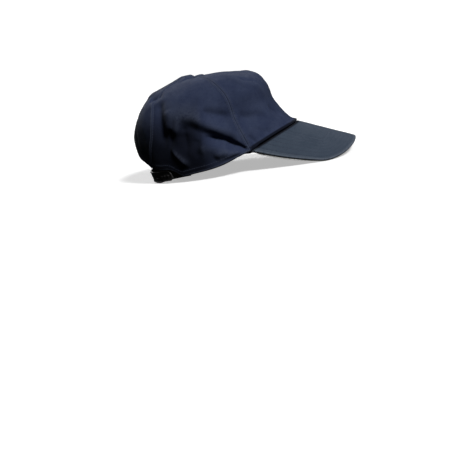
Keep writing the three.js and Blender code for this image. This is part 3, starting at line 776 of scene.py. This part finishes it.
def panel_start(bearing):
    """Elevation of the panel's edge: over the bill it stands a little clear, which leaves a dark line."""
    lift = HEM_LIFT * over_bill(bearing, 0, HEM_LIFT_RUN)
    per_degree = np.linalg.norm(plain_crown(bearing, 6.0) - plain_crown(bearing, 5.0), axis=-1)
    return rim_elevation(bearing) + lift / per_degree


def crown_panel(name, right, left, wall, rows, columns):
    up, across = np.meshgrid(closer_at_start(rows, 1.15), closer_at_ends(columns, 0.75), indexing="ij")

    def between(elevation):
        return right(elevation) + (left(elevation) - right(elevation)) * across

    start = panel_start(between(np.zeros_like(up)))
    for _ in range(8):
        start = panel_start(between(start))
    elevation = start + (CROWN_TOP + 1.5 - start) * up
    bearing = between(elevation)
    outer_height, inner_height, wear, above = relief(bearing, elevation)
    base, normal = plain_crown(bearing, elevation), crown_normal(bearing, elevation)
    turned = smooth(above / 6)[..., None]
    facing = unit(turned * normal + (1 - turned) * level(normal))
    inner_height = np.minimum(inner_height, outer_height + 0.5)
    outer = base + outer_height[..., None] * facing
    inner = base + (inner_height - wall)[..., None] * facing
    points, faces, owner = shell(outer, inner)
    length = distance_along(base, 1)
    length -= length[:, [columns // 2]]
    cloth = np.stack([length, distance_along(base), np.zeros_like(length)], -1)
    # painted shade: the lowest few mm of the hem over the bill take the dark colour and lose their rubbed
    # edge, for the shade in the crevice between crown and bill
    hem_crevice_shade = over_bill(bearing, 2, 4) * smooth((2.6 - above + HEM_LIFT) / 1.6)
    add_piece(name + "_cloth", points, faces, navy, [name], shell_map(cloth, owner),
              shell_map(wear * (1 - hem_crevice_shade), owner),
              fade_and_shade=shell_map(sun_fade_and_shade(bearing, elevation) * (1 - hem_crevice_shade), owner))


def sun_fade_and_shade(bearing, elevation):
    """Share of the lighter, sun-faded colour: full on top and in front, little low at the back, where the
    darker colour is partly unfaded dye and partly painted shade.
    """
    b = np.abs(wrapped(bearing))
    return np.maximum(smooth((elevation - 22) / 30) * smooth((176 - b) / 30 + 0.35), smooth((108 - b) / 20))


def run_of(seam, side):
    return lambda e: side * seam(e)


def at_back(side):
    return lambda e: np.full(np.shape(e), side * 180.0)


crown_panel("front_panel", run_of(front_seam, -1), run_of(front_seam, 1), FRONT_WALL, 130, 190)
crown_panel("side_panel_right", run_of(back_seam, -1), run_of(front_seam, -1), CLOTH_WALL, 130, 130)
crown_panel("side_panel_left", run_of(front_seam, 1), run_of(back_seam, 1), CLOTH_WALL, 130, 130)
crown_panel("back_panel_right", at_back(-1), run_of(back_seam, -1), CLOTH_WALL, 110, 54)
crown_panel("back_panel_left", run_of(back_seam, 1), at_back(1), CLOTH_WALL, 110, 54)


def looked_up(at, travelled, values):
    """Rows of three values, between the distances at which they are known."""
    return np.stack([np.interp(at, travelled, values[:, k]) for k in range(3)], -1)


# Stitches: short arched threads along a row
def stitches(name, rows, radius=0.24, length=2.6, gap=0.7):
    """rows: list of (points, normals) along each row, in mm."""
    rings, sides = 5, 6
    t = np.linspace(-1, 1, rings)
    angle = np.arange(sides) * 2 * np.pi / sides
    points, faces, cloth = [], [], []
    count = 0
    for path, normals in rows:
        travelled = distance_along(path)
        number = int(travelled[-1] // (length + gap))
        if number < 1:
            continue
        pitch = travelled[-1] / number
        middles = (np.arange(number) + 0.5) * pitch
        at = middles[:, None] + t[None] * (pitch - gap) / 2
        where = looked_up(at, travelled, path)
        along = unit(looked_up(at + 0.2, travelled, path) - looked_up(at - 0.2, travelled, path))
        up = unit(looked_up(at, travelled, normals))
        across = unit(np.cross(up, along))
        thick = radius * np.sqrt(np.maximum(1 - (0.93 * t) ** 4, 0.02))
        lift = radius * (0.75 - 1.5 * t ** 4)
        ring = (where[:, :, None] + lift[None, :, None, None] * up[:, :, None]
                + thick[None, :, None, None] * (np.cos(angle)[None, None, :, None] * across[:, :, None]
                                                + np.sin(angle)[None, None, :, None] * up[:, :, None]))
        block = ring.reshape(number, rings * sides, 3)
        for n in range(number):
            shift = count + n * rings * sides
            faces += [tuple(v + shift for v in face) for face in tube_faces(rings, sides)]
        points.append(block.reshape(-1, 3))
        around = np.broadcast_to(np.arange(sides) * radius, (number, rings, sides))
        lengthwise = np.broadcast_to(at[:, :, None], (number, rings, sides))
        cloth.append(np.stack([lengthwise, around, np.zeros_like(around)], -1).reshape(-1, 3))
        count += number * rings * sides
    add_piece(name, np.concatenate(points), faces, thread_cloth, cloth=np.concatenate(cloth),
              wear=np.full(count, 0.2))


def seam_rows(seam, low_at, high):
    rows = []
    run, side = seam[0], seam[1]
    for row in seam[5]:
        elevation = np.linspace(low_at, high, 160)
        centre = side * run(elevation)
        bearing = centre + row / millimetres_per_degree(centre, elevation)
        rows.append(crown_surface(bearing, elevation))
    return rows


def seam_foot(seam):
    side = seam[1]
    elevation = 5.0
    for _ in range(12):
        elevation = float(rim_elevation(side * seam[0](np.array(elevation))))
    return elevation + 1.2


crown_rows = [row for seam in SEAMS for row in seam_rows(seam, seam_foot(seam), 82)]
stitches("crown_stitching", crown_rows)


def hem_rows(start, end):
    bearing = np.linspace(start, end, 400)
    base = plain_crown(bearing, rim_elevation(bearing))
    elevation = rim_elevation(bearing)
    per_degree = np.linalg.norm(plain_crown(bearing, elevation + 1) - base, axis=-1)
    return crown_surface(bearing, elevation + HEM_ROW / per_degree)


stitches("hem_stitching", [hem_rows(-CORNER_BEARING - 2, CORNER_BEARING + 2 - 360)])


# Button: domed and covered with cloth, which puckers round its edge
def make_button():
    rings, sides = 26, 96
    share, turn = np.meshgrid(np.linspace(0, 1, rings), np.arange(sides) * 360 / sides - 180, indexing="ij")
    reach = BUTTON_RADIUS * np.maximum(share, 0.001)

    def inside(e):
        return np.hypot(plain_crown(turn, e)[..., 0], plain_crown(turn, e)[..., 1]) < reach

    base = plain_crown(turn, search(np.zeros_like(turn), np.full(turn.shape, 90.0), inside))
    base[0] = plain_crown(0.0, 90.0)
    pucker = 0.12 * np.sin(np.radians(turn) * 22) * smooth((share - 0.55) / 0.4)
    rise = SEAM_GAP + 0.4 + BUTTON_RISE * np.sqrt(np.maximum(1 - share ** 2.6, 0)) + pucker
    upper = base + rise[..., None] * np.array([0, 0, 1])
    lower = base + np.array([0, 0, SEAM_GAP - 0.2])
    ring = np.concatenate([upper, lower[::-1]])
    points = ring.reshape(-1, 3)
    ids = np.arange(len(points)).reshape(len(ring), sides)
    faces = []
    for i in range(1, len(ring) - 2):
        for j in range(sides):
            k = (j + 1) % sides
            faces.append((ids[i, j], ids[i + 1, j], ids[i + 1, k], ids[i, k]))
    for j in range(sides):
        k = (j + 1) % sides
        faces.append((ids[0, 0], ids[1, j], ids[1, k]))
        faces.append((ids[-1, 0], ids[-2, k], ids[-2, j]))
    wear = np.concatenate([0.7 * np.exp(-((share - 0.93) / 0.08) ** 2), np.zeros_like(share)])
    add_piece("top_button_cover", points, faces, navy, ["top_button"], points, wear)


make_button()


# Bill: distance in from its curved edge, for the stitch rows that follow it
EDGE_SHARES = np.linspace(-1, 1, 801)
EDGE_LINE = np.stack(bill_place(EDGE_SHARES, np.ones(801))[:2], -1)
BILL_ROWS = [3.0, 8.2, 13.4, 18.6, 23.8, 29.0, 34.2]
ROW_DEPTH = 0.3


def edge_distance(forward, side):
    spots = np.stack([forward.ravel(), side.ravel()], -1)
    best = np.full(len(spots), 1e9)
    a, d = EDGE_LINE[:-1], np.diff(EDGE_LINE, axis=0)
    for k in range(len(a)):
        t = np.clip(((spots - a[k]) @ d[k]) / (d[k] @ d[k]), 0, 1)
        best = np.minimum(best, np.linalg.norm(spots - a[k] - t[:, None] * d[k], axis=1))
    return best.reshape(forward.shape)


def bill_relief(forward, side, inside, points):
    """Height of the cover over the board, and its wear."""
    height = 0.12 * cloth_noise(points, 16, 23) + 0.06 * cloth_noise(points, 5, 29)
    for row in BILL_ROWS:
        height -= ROW_DEPTH * np.exp(-((inside - row) / 0.75) ** 2)
    wear = 0.9 * smooth((1.4 - inside) / 1.4) + 0.25 * np.exp(-((inside - BILL_ROWS[0] + 1.2) / 0.8) ** 2)
    return height, np.clip(wear, 0, 1)


def bill_sheet(name, across, out, depths, relief_share, material, replaces, overhang=None):
    """Layer of the bill between two depths, with a rounded outer edge and a tongue under the crown."""
    top, bottom = depths
    radius = (bottom - top) / 2
    ac, o = np.meshgrid(across, out, indexing="xy")
    forward, side, reach = bill_place(ac, np.maximum(o, 0))
    inside = edge_distance(forward, side)
    down = bill_down(forward, side, reach)
    base = sheet_point(forward, side)
    if np.any(o < 0):
        bearing = ac * CORNER_BEARING * BILL_SPAN
        inwards = level(crown_normal(bearing, rim_elevation(bearing)))
        base = base + (np.minimum(o, 0) * FRONT_WALL)[..., None] * inwards
        base[..., 2] += np.minimum(o, 0) * SEAM_GAP
    height, wear = bill_relief(forward, side, inside, base)
    # painted shade: the strip along the crown takes the dark colour, for the shade in the crevice under the
    # crown's hem, and it sinks a little
    from_crown = np.where(o > 0, np.hypot(forward - forward[2], side - side[2]), 0)
    clear_of_crevice_shade = smooth((from_crown - 1.2) / 3.2)
    height = height - 0.9 * np.exp(-(from_crown / 2.5) ** 2)
    upper = base + (relief_share * height - top)[..., None] * down
    lower = base - bottom * down
    # the rim of the layer: a half circle from the upper to the lower face
    extra = np.zeros(len(across)) if overhang is None else overhang
    rim_radius = (radius + 0.08 * extra)[:, None]
    rim_middle = base[-1] - (top + rim_radius) * down[-1]
    outwards = unit(np.cross(np.gradient(base[-1], axis=0), down[-1]))
    outwards *= np.sign(np.sum(outwards * (base[-1] - base[-2]), -1, keepdims=True))
    turns = np.linspace(0, np.pi, 9)[1:-1]
    rim = np.stack([rim_middle + rim_radius * math.cos(a) * down[-1]
                    + ((radius * 0.9 + extra) * math.sin(a))[:, None] * outwards for a in turns])
    ring = np.concatenate([upper, rim, lower[::-1]])
    rows, columns = ring.shape[:2]
    # turned the other way round, with the same first corner
    faces = [face[:1] + face[:0:-1] for face in closed_faces(rows, columns)]
    # the faces that join the first row to the last start one corner earlier, for their diagonal
    joining = slice((rows - 1) * (columns - 1), rows * (columns - 1))
    faces[joining] = [face[-1:] + face[:-1] for face in faces[joining]]
    rim_wear = np.repeat(np.ones((1, columns)) * 0.9, len(turns), 0)
    wear = np.concatenate([wear, rim_wear, 0.4 * wear[::-1]])
    plan = np.stack([side, forward, np.zeros_like(side)], -1)
    cloth = np.concatenate([plan, np.repeat(plan[-1:], len(turns), 0), plan[::-1]])
    fade_and_shade = np.concatenate([clear_of_crevice_shade, np.ones((len(turns), columns)), clear_of_crevice_shade[::-1]])
    add_piece(name, ring.reshape(-1, 3), faces, material, replaces, cloth.reshape(-1, 3), wear.ravel(),
              fade_and_shade=fade_and_shade.ravel())


ACROSS = np.sin(np.linspace(-1, 1, 261) * np.pi / 2 * 0.9) / math.sin(np.pi / 2 * 0.9)
OUT = np.concatenate([[-1, -0.5], 1 - (1 - np.linspace(0, 1, 111)) ** 1.15])
bill_sheet("bill_cover", ACROSS, OUT, (0, BILL_BOARD), 1.0, bill_cloth, ["bill"])
LINING_OUT = 1 - (1 - np.linspace(0.02, 1, 61)) ** 1.15
BACK_SHARE = smooth((np.abs(ACROSS) - 0.55) / 0.2) * smooth((1 - np.abs(ACROSS)) / 0.05)
LINING_DEPTHS = (BILL_BOARD + 0.02, ALL_DEPTH - 0.2)
bill_sheet("bill_lining", ACROSS, LINING_OUT, LINING_DEPTHS, 0.0, lining_cloth,
           ["under_bill"], overhang=0.15 + 2.1 * BACK_SHARE)


def bill_row(distance):
    """Row of stitches at a distance in from the bill's edge, as far back as the crown."""
    along = np.diff(EDGE_LINE, axis=0, append=EDGE_LINE[-1:])
    along[-1] = along[-2]
    inwards = unit(np.stack([-along[:, 1], along[:, 0]], -1))
    middle = EDGE_LINE[len(EDGE_LINE) // 2]
    if inwards[len(EDGE_LINE) // 2] @ (np.array([0, 0]) - middle) < 0:
        inwards = -inwards
    line = EDGE_LINE + distance * inwards
    gaps = edge_distance(line[:, 0], line[:, 1])
    line = line[gaps > distance - 0.05]
    points = sheet_point(line[:, 0], line[:, 1])
    normals = sheet_normal(line[:, 0], line[:, 1])
    bearing = np.degrees(np.arctan2(points[:, 1] / HALF_WIDTH, points[:, 0] / HALF_LENGTH))
    forward, side, _ = sheet_place(plain_crown(bearing, rim_elevation(bearing)))
    outside = np.hypot(line[:, 0] + 60, line[:, 1]) > np.hypot(forward + 60, side) + 1.5
    points, normals = points[outside], normals[outside]
    return points - (ROW_DEPTH - 0.05) * normals, normals


stitches("bill_stitching", [bill_row(distance) for distance in BILL_ROWS], 0.22, 2.4)


# Sweatband inside the crown, pressed in where the folds press in, with a turned lower edge
def make_sweatband():
    rows, columns = 30, 420
    up, across = np.meshgrid(np.linspace(0, 1, rows), np.linspace(-1, 1, columns), indexing="ij")
    bearing = BAND_HALF_ANGLE * across
    rim = plain_crown(bearing, rim_elevation(bearing))[..., 2]
    behind_bill = 1 - smooth((np.abs(bearing) - CORNER_BEARING) / 6)
    show = BAND_SHOW + (ALL_DEPTH - BAND_SHOW) * behind_bill
    height = rim - show + (BAND_HEIGHT + show) * up
    elevation = elevation_at(bearing, height)
    base, normal = plain_crown(bearing, elevation), crown_normal(bearing, elevation)
    turned = smooth(up * 5)[..., None]
    facing = unit(turned * normal + (1 - turned) * level(normal))
    pressed = np.minimum(relief(bearing, elevation)[1] + 0.3, 0)
    outside = FRONT_WALL + 2 * SEAM_GAP
    ripple = 0.35 * cloth_noise(base, 14, 41)
    turned_edge = 0.5 * smooth((0.16 - up) / 0.05)
    outer = base + (pressed - outside)[..., None] * facing
    inner = base + (pressed - outside - BAND_WALL - turned_edge + np.minimum(ripple, 0.3))[..., None] * facing
    points, faces, owner = shell(outer, inner)
    cloth = np.stack([distance_along(base, 1), BAND_HEIGHT * up, np.zeros_like(up)], -1)
    wear = 0.9 * np.exp(-(up / 0.05) ** 2) + 0.3 * np.exp(-((up - 0.16) / 0.03) ** 2)
    # painted shade: low on the band behind the bill, where it shows through the gap under the hem, it takes
    # the dark colour and loses its rubbed edge
    clear_of_band_shade = 1 - smooth((np.abs(bearing) - CORNER_BEARING - 10) / -8) * smooth((0.3 - up) / 0.1)
    add_piece("sweatband_cloth", points, faces, band_cloth, ["sweatband"],
              shell_map(cloth, owner), shell_map(wear * clear_of_band_shade, owner), fade_and_shade=shell_map(clear_of_band_shade, owner))
    row = 6
    stitch_line = inner[row] - 0.05 * facing[row]
    stitches("band_stitching", [(stitch_line, -facing[row])])


make_sweatband()


# Strap
def floor_height(x):
    return BACK_FOOT[2] - (x - BACK_FOOT[0]) * STANDING_SLOPE


def strap_bottom(bearing, inwards, lift):
    on_floor = floor_height(strap_plan(bearing, inwards)[..., 0])
    free = smooth((180 - np.abs(wrapped(bearing)) - STRAP_FLAT_HALF_ANGLE) / STRAP_FLAT_BLEND)
    return on_floor + (strap_curve(bearing) - on_floor) * free + lift


def out_of_tuck(bearing):
    return smooth((np.abs(wrapped(bearing)) - STRAP_TUCK_BEARING) / STRAP_TUCK_RUN)


def outer_depth(bearing):
    return np.where(wrapped(bearing) > 0, STRAP_TUCK * (1 - out_of_tuck(bearing)), 0.0)


def inner_depth(bearing):
    return STRAP_TUCK + (STRAP_WALL + SEAM_GAP - STRAP_TUCK) * out_of_tuck(bearing)


RIM_RISE = 0.45
RIM_WIDTH = 1.7
# the rounded lower edge bulges below the strap's plain edge by this much
STRAP_LIFT = 0.5


def strap_half(name, node, start, end, depth, lift, trim, round_at, columns, raised):
    rows = 27
    run = np.linspace(start, end, columns)
    end_plan = strap_plan(wrapped(round_at), depth(round_at))
    layers, wears, cloths = [], [], []
    plan0 = strap_plan(wrapped(run), depth(run))
    travelled = distance_along(plan0)
    for wall in (0.0, STRAP_WALL):
        inwards = depth(run) + wall
        plan = strap_plan(wrapped(run), inwards)
        reach = np.minimum(np.linalg.norm(plan - end_plan, axis=-1) / (STRAP_HEIGHT / 2), 1)
        rounding = np.maximum(np.sqrt(1 - (1 - reach) ** 2), 0.06)
        low = strap_bottom(wrapped(run), inwards, lift) + STRAP_LIFT
        high = strap_curve(run) + STRAP_HEIGHT - trim
        middle, half = (low + high) / 2, (high - low) / 2 * rounding
        v = np.linspace(-1, 1, rows)
        z = middle + half * v[:, None]
        from_edge = half * (1 - np.abs(v))[:, None]
        from_end = np.linalg.norm(plan - end_plan, axis=-1)
        border = np.minimum(from_edge, np.broadcast_to(from_end, from_edge.shape))
        rim = smooth((RIM_WIDTH - border) / 0.5) * smooth(border / 0.35 + 0.35)
        facing = level(crown_normal(wrapped(run), elevation_at(wrapped(run), STRAP_MIDDLE)))
        # the inner face stays flat, and the outer one has a raised rim
        out = (RIM_RISE * (rim - 0.6) if raised and wall == 0 else 0 * rim)
        points = np.broadcast_to(plan, (rows,) + plan.shape).copy()
        points[..., 2] = z
        points = points + out[..., None] * facing
        layers.append(points)
        wears.append(0.8 * rim * smooth((1.1 - border) / 0.8))
        cloths.append(np.stack([np.broadcast_to(travelled, z.shape), z, 0 * z], -1))
    points, faces, owner = shell(layers[0], layers[1], edge_rows=3)
    wear = np.concatenate([wears[0][::-1], np.full((3, columns), 0.5), wears[1] * 0.3])
    cloth = shell_map(cloths[0], owner)
    return add_piece(name, points, faces, plastic, [node], cloth, wear.ravel(), sharp=38)


# Bearings of the snap holes, counted back from the rounded end of the outer half
HOLE_RUN = np.linspace(360 - STRAP_END, 180 - OPENING_HALF_ANGLE, 2000)
HOLE_PLAN = strap_plan(wrapped(HOLE_RUN), np.zeros(2000))
HOLE_REACH = distance_along(HOLE_PLAN)
HOLE_BEARINGS = np.interp(STRAP_HEIGHT / 2 + HOLE_PITCH * np.arange(HOLE_COUNT), HOLE_REACH, HOLE_RUN)


def lathe_across(bearing, profile, sides=28):
    """Turned form across the strap: profile of (depth inside the crown's face, radius)."""
    b = wrapped(bearing)
    facing = level(crown_normal(b, elevation_at(b, STRAP_MIDDLE)))
    middle = strap_plan(b, 0.0) + np.array([0, 0, float(strap_curve(b)) + STRAP_HEIGHT / 2])
    side = unit(np.cross(facing, np.array([0, 0, 1])))
    up = np.cross(side, facing)
    points = []
    for depth, radius in profile:
        for a in np.arange(sides) * 2 * math.pi / sides:
            points.append(middle - depth * facing + radius * (math.cos(a) * side + math.sin(a) * up))
    return points, tube_faces(len(profile), sides)


def joined(parts):
    points, faces = [], []
    for some_points, some_faces in parts:
        faces += [tuple(v + len(points) for v in face) for face in some_faces]
        points += some_points
    return points, faces


def loose_mesh(name, points, faces):
    mesh = bpy.data.meshes.new(name)
    mesh.from_pydata(placed(np.array(points)).tolist(), [], faces)
    return bpy.data.objects.new(name, mesh)


def bore(piece, cutter):
    bpy.context.scene.collection.objects.link(cutter)
    cut = piece.modifiers.new("holes", "BOOLEAN")
    cut.operation, cut.object, cut.solver = "DIFFERENCE", cutter, "EXACT"
    with bpy.context.temp_override(object=piece, active_object=piece, selected_objects=[piece]):
        bpy.ops.object.modifier_apply(modifier=cut.name)
    bpy.data.objects.remove(cutter)
    piece.data.set_sharp_from_angle(angle=math.radians(38))


outer_half = strap_half("strap_outer_half", "strap_outer", STRAP_START, 360 - STRAP_END, outer_depth, 0, 0,
                        360 - STRAP_END, 300, True)
strap_half("strap_inner_half", "strap_inner", 360 - STRAP_TONGUE, 360 - STRAP_START, inner_depth,
           INNER_TRIM, INNER_TRIM, 360 - STRAP_TONGUE, 170, False)
hole_profile = [(-2.0, HOLE_RADIUS + 0.35), (0.05, HOLE_RADIUS + 0.3), (0.4, HOLE_RADIUS), (2.6, HOLE_RADIUS)]
bore(outer_half, loose_mesh("hole_cutter", *joined([lathe_across(b, hole_profile) for b in HOLE_BEARINGS])))
peg_profile = [(2.4, PEG_RADIUS), (0.5, PEG_RADIUS), (0.1, PEG_RADIUS + 0.12), (-0.25, PEG_RADIUS),
               (-0.5, PEG_RADIUS * 0.65), (-0.58, PEG_RADIUS * 0.2)]
peg_points, peg_faces = joined([lathe_across(b, peg_profile) for b in HOLE_BEARINGS[:PEG_COUNT]])
add_piece("strap_pegs", peg_points, peg_faces, plastic, sharp=38)


# Floor: a wide pale sweep that curves up all round
def make_floor():
    flat, bend, sides = 2.4, 1.4, 96
    profile = [(0.0, 0.0), (0.4, 0.0), (1.0, 0.0), (flat, 0.0)]
    angles = np.linspace(0, math.pi / 2, 16)[1:]
    profile += [(flat + bend * math.sin(a), bend * (1 - math.cos(a))) for a in angles]
    profile += [(flat + bend, 1.6)]
    points = [(r * math.cos(t), r * math.sin(t), z) for r, z in profile[1:]
              for t in np.arange(sides) * 2 * math.pi / sides]
    points.append((0, 0, 0))
    faces = []
    for i in range(len(profile) - 2):
        for k in range(sides):
            j = (k + 1) % sides
            faces.append((i * sides + k, (i + 1) * sides + k, (i + 1) * sides + j, i * sides + j))
    faces += [(len(points) - 1, k, (k + 1) % sides) for k in range(sides)]
    mesh = bpy.data.meshes.new("studio_floor")
    mesh.from_pydata(points, [], faces)
    mesh.polygons.foreach_set("use_smooth", np.ones(len(mesh.polygons), bool))
    material, tree, shader = new_material("studio_paper")
    grain = add_node(tree, "ShaderNodeTexNoise", {"Scale": 60.0, "Detail": 3.0}).outputs["Fac"]
    colour = mixed(tree, "MIX", grain, rgba(0.86, 0.86, 0.86), rgba(0.89, 0.89, 0.89))
    tree.links.new(colour, shader.inputs["Base Color"])
    shader.inputs["Roughness"].default_value = 0.9
    shader.inputs["Emission Color"].default_value = rgba(1, 1, 1)
    shader.inputs["Emission Strength"].default_value = 0.45
    mesh.materials.append(material)
    floor = bpy.data.objects.new("studio_floor", mesh)
    bpy.context.scene.collection.objects.link(floor)
    floor.visible_diffuse = False
    floor.visible_glossy = False


make_floor()


# Soft studio light
def sun_light(name, towards, spread, strength):
    light = bpy.data.lights.new(name, "SUN")
    light.angle, light.energy = math.radians(spread), strength
    lamp = bpy.data.objects.new(name, light)
    lamp.rotation_mode = "QUATERNION"
    lamp.rotation_quaternion = Vector(towards).to_track_quat("Z", "Y")
    bpy.context.scene.collection.objects.link(lamp)


sun_light("key", (0.46, -0.55, 0.70), 14, 2.85)
sun_light("far_side", (-0.45, 0.80, 0.45), 35, 2.4)

# Faint light from all round, weaker from below
world = bpy.data.worlds.new("studio")
world.use_nodes = True
sky = world.node_tree
direction = add_node(sky, "ShaderNodeTexCoord").outputs["Generated"]
height = add_node(sky, "ShaderNodeSeparateXYZ", {"Vector": direction}).outputs["Z"]
sky.links.new(mixed(sky, "MIX", ramp(sky, height, -0.35, 0.5), rgba(0.03, 0.03, 0.03), rgba(1, 1, 1)),
              sky.nodes["Background"].inputs["Color"])
sky.nodes["Background"].inputs["Strength"].default_value = 0.05
bpy.context.scene.world = world
bpy.context.scene.view_settings.view_transform = "Standard"

# Camera at the photograph's angle: the point it looks at lies in the cap's middle plane
CAMERA_AZIMUTH = math.radians(6.897)
CAMERA_ELEVATION = math.radians(10.928)
CAMERA_ROLL = math.radians(10.405)
CAMERA_AIM = Vector((-0.03941, 0, -0.08081))
CAMERA_DISTANCE = 1.57665
CAMERA_LENS = 94.77
back = Vector((math.sin(CAMERA_AZIMUTH) * math.cos(CAMERA_ELEVATION),
               -math.cos(CAMERA_AZIMUTH) * math.cos(CAMERA_ELEVATION), math.sin(CAMERA_ELEVATION)))
level_right = Vector((math.cos(CAMERA_AZIMUTH), math.sin(CAMERA_AZIMUTH), 0))
level_up = back.cross(level_right)
camera_up = math.cos(CAMERA_ROLL) * level_up + math.sin(CAMERA_ROLL) * level_right
camera_right = camera_up.cross(back)
camera_data = bpy.data.cameras.new("camera")
camera_data.lens, camera_data.sensor_width = CAMERA_LENS, 36
camera = bpy.data.objects.new("camera", camera_data)
turn = Matrix((camera_right, camera_up, back)).transposed().to_4x4()
camera.matrix_world = Matrix.Translation(CAMERA_AIM + CAMERA_DISTANCE * back) @ turn
bpy.context.scene.collection.objects.link(camera)
bpy.context.scene.camera = camera

bpy.context.view_layer.update()
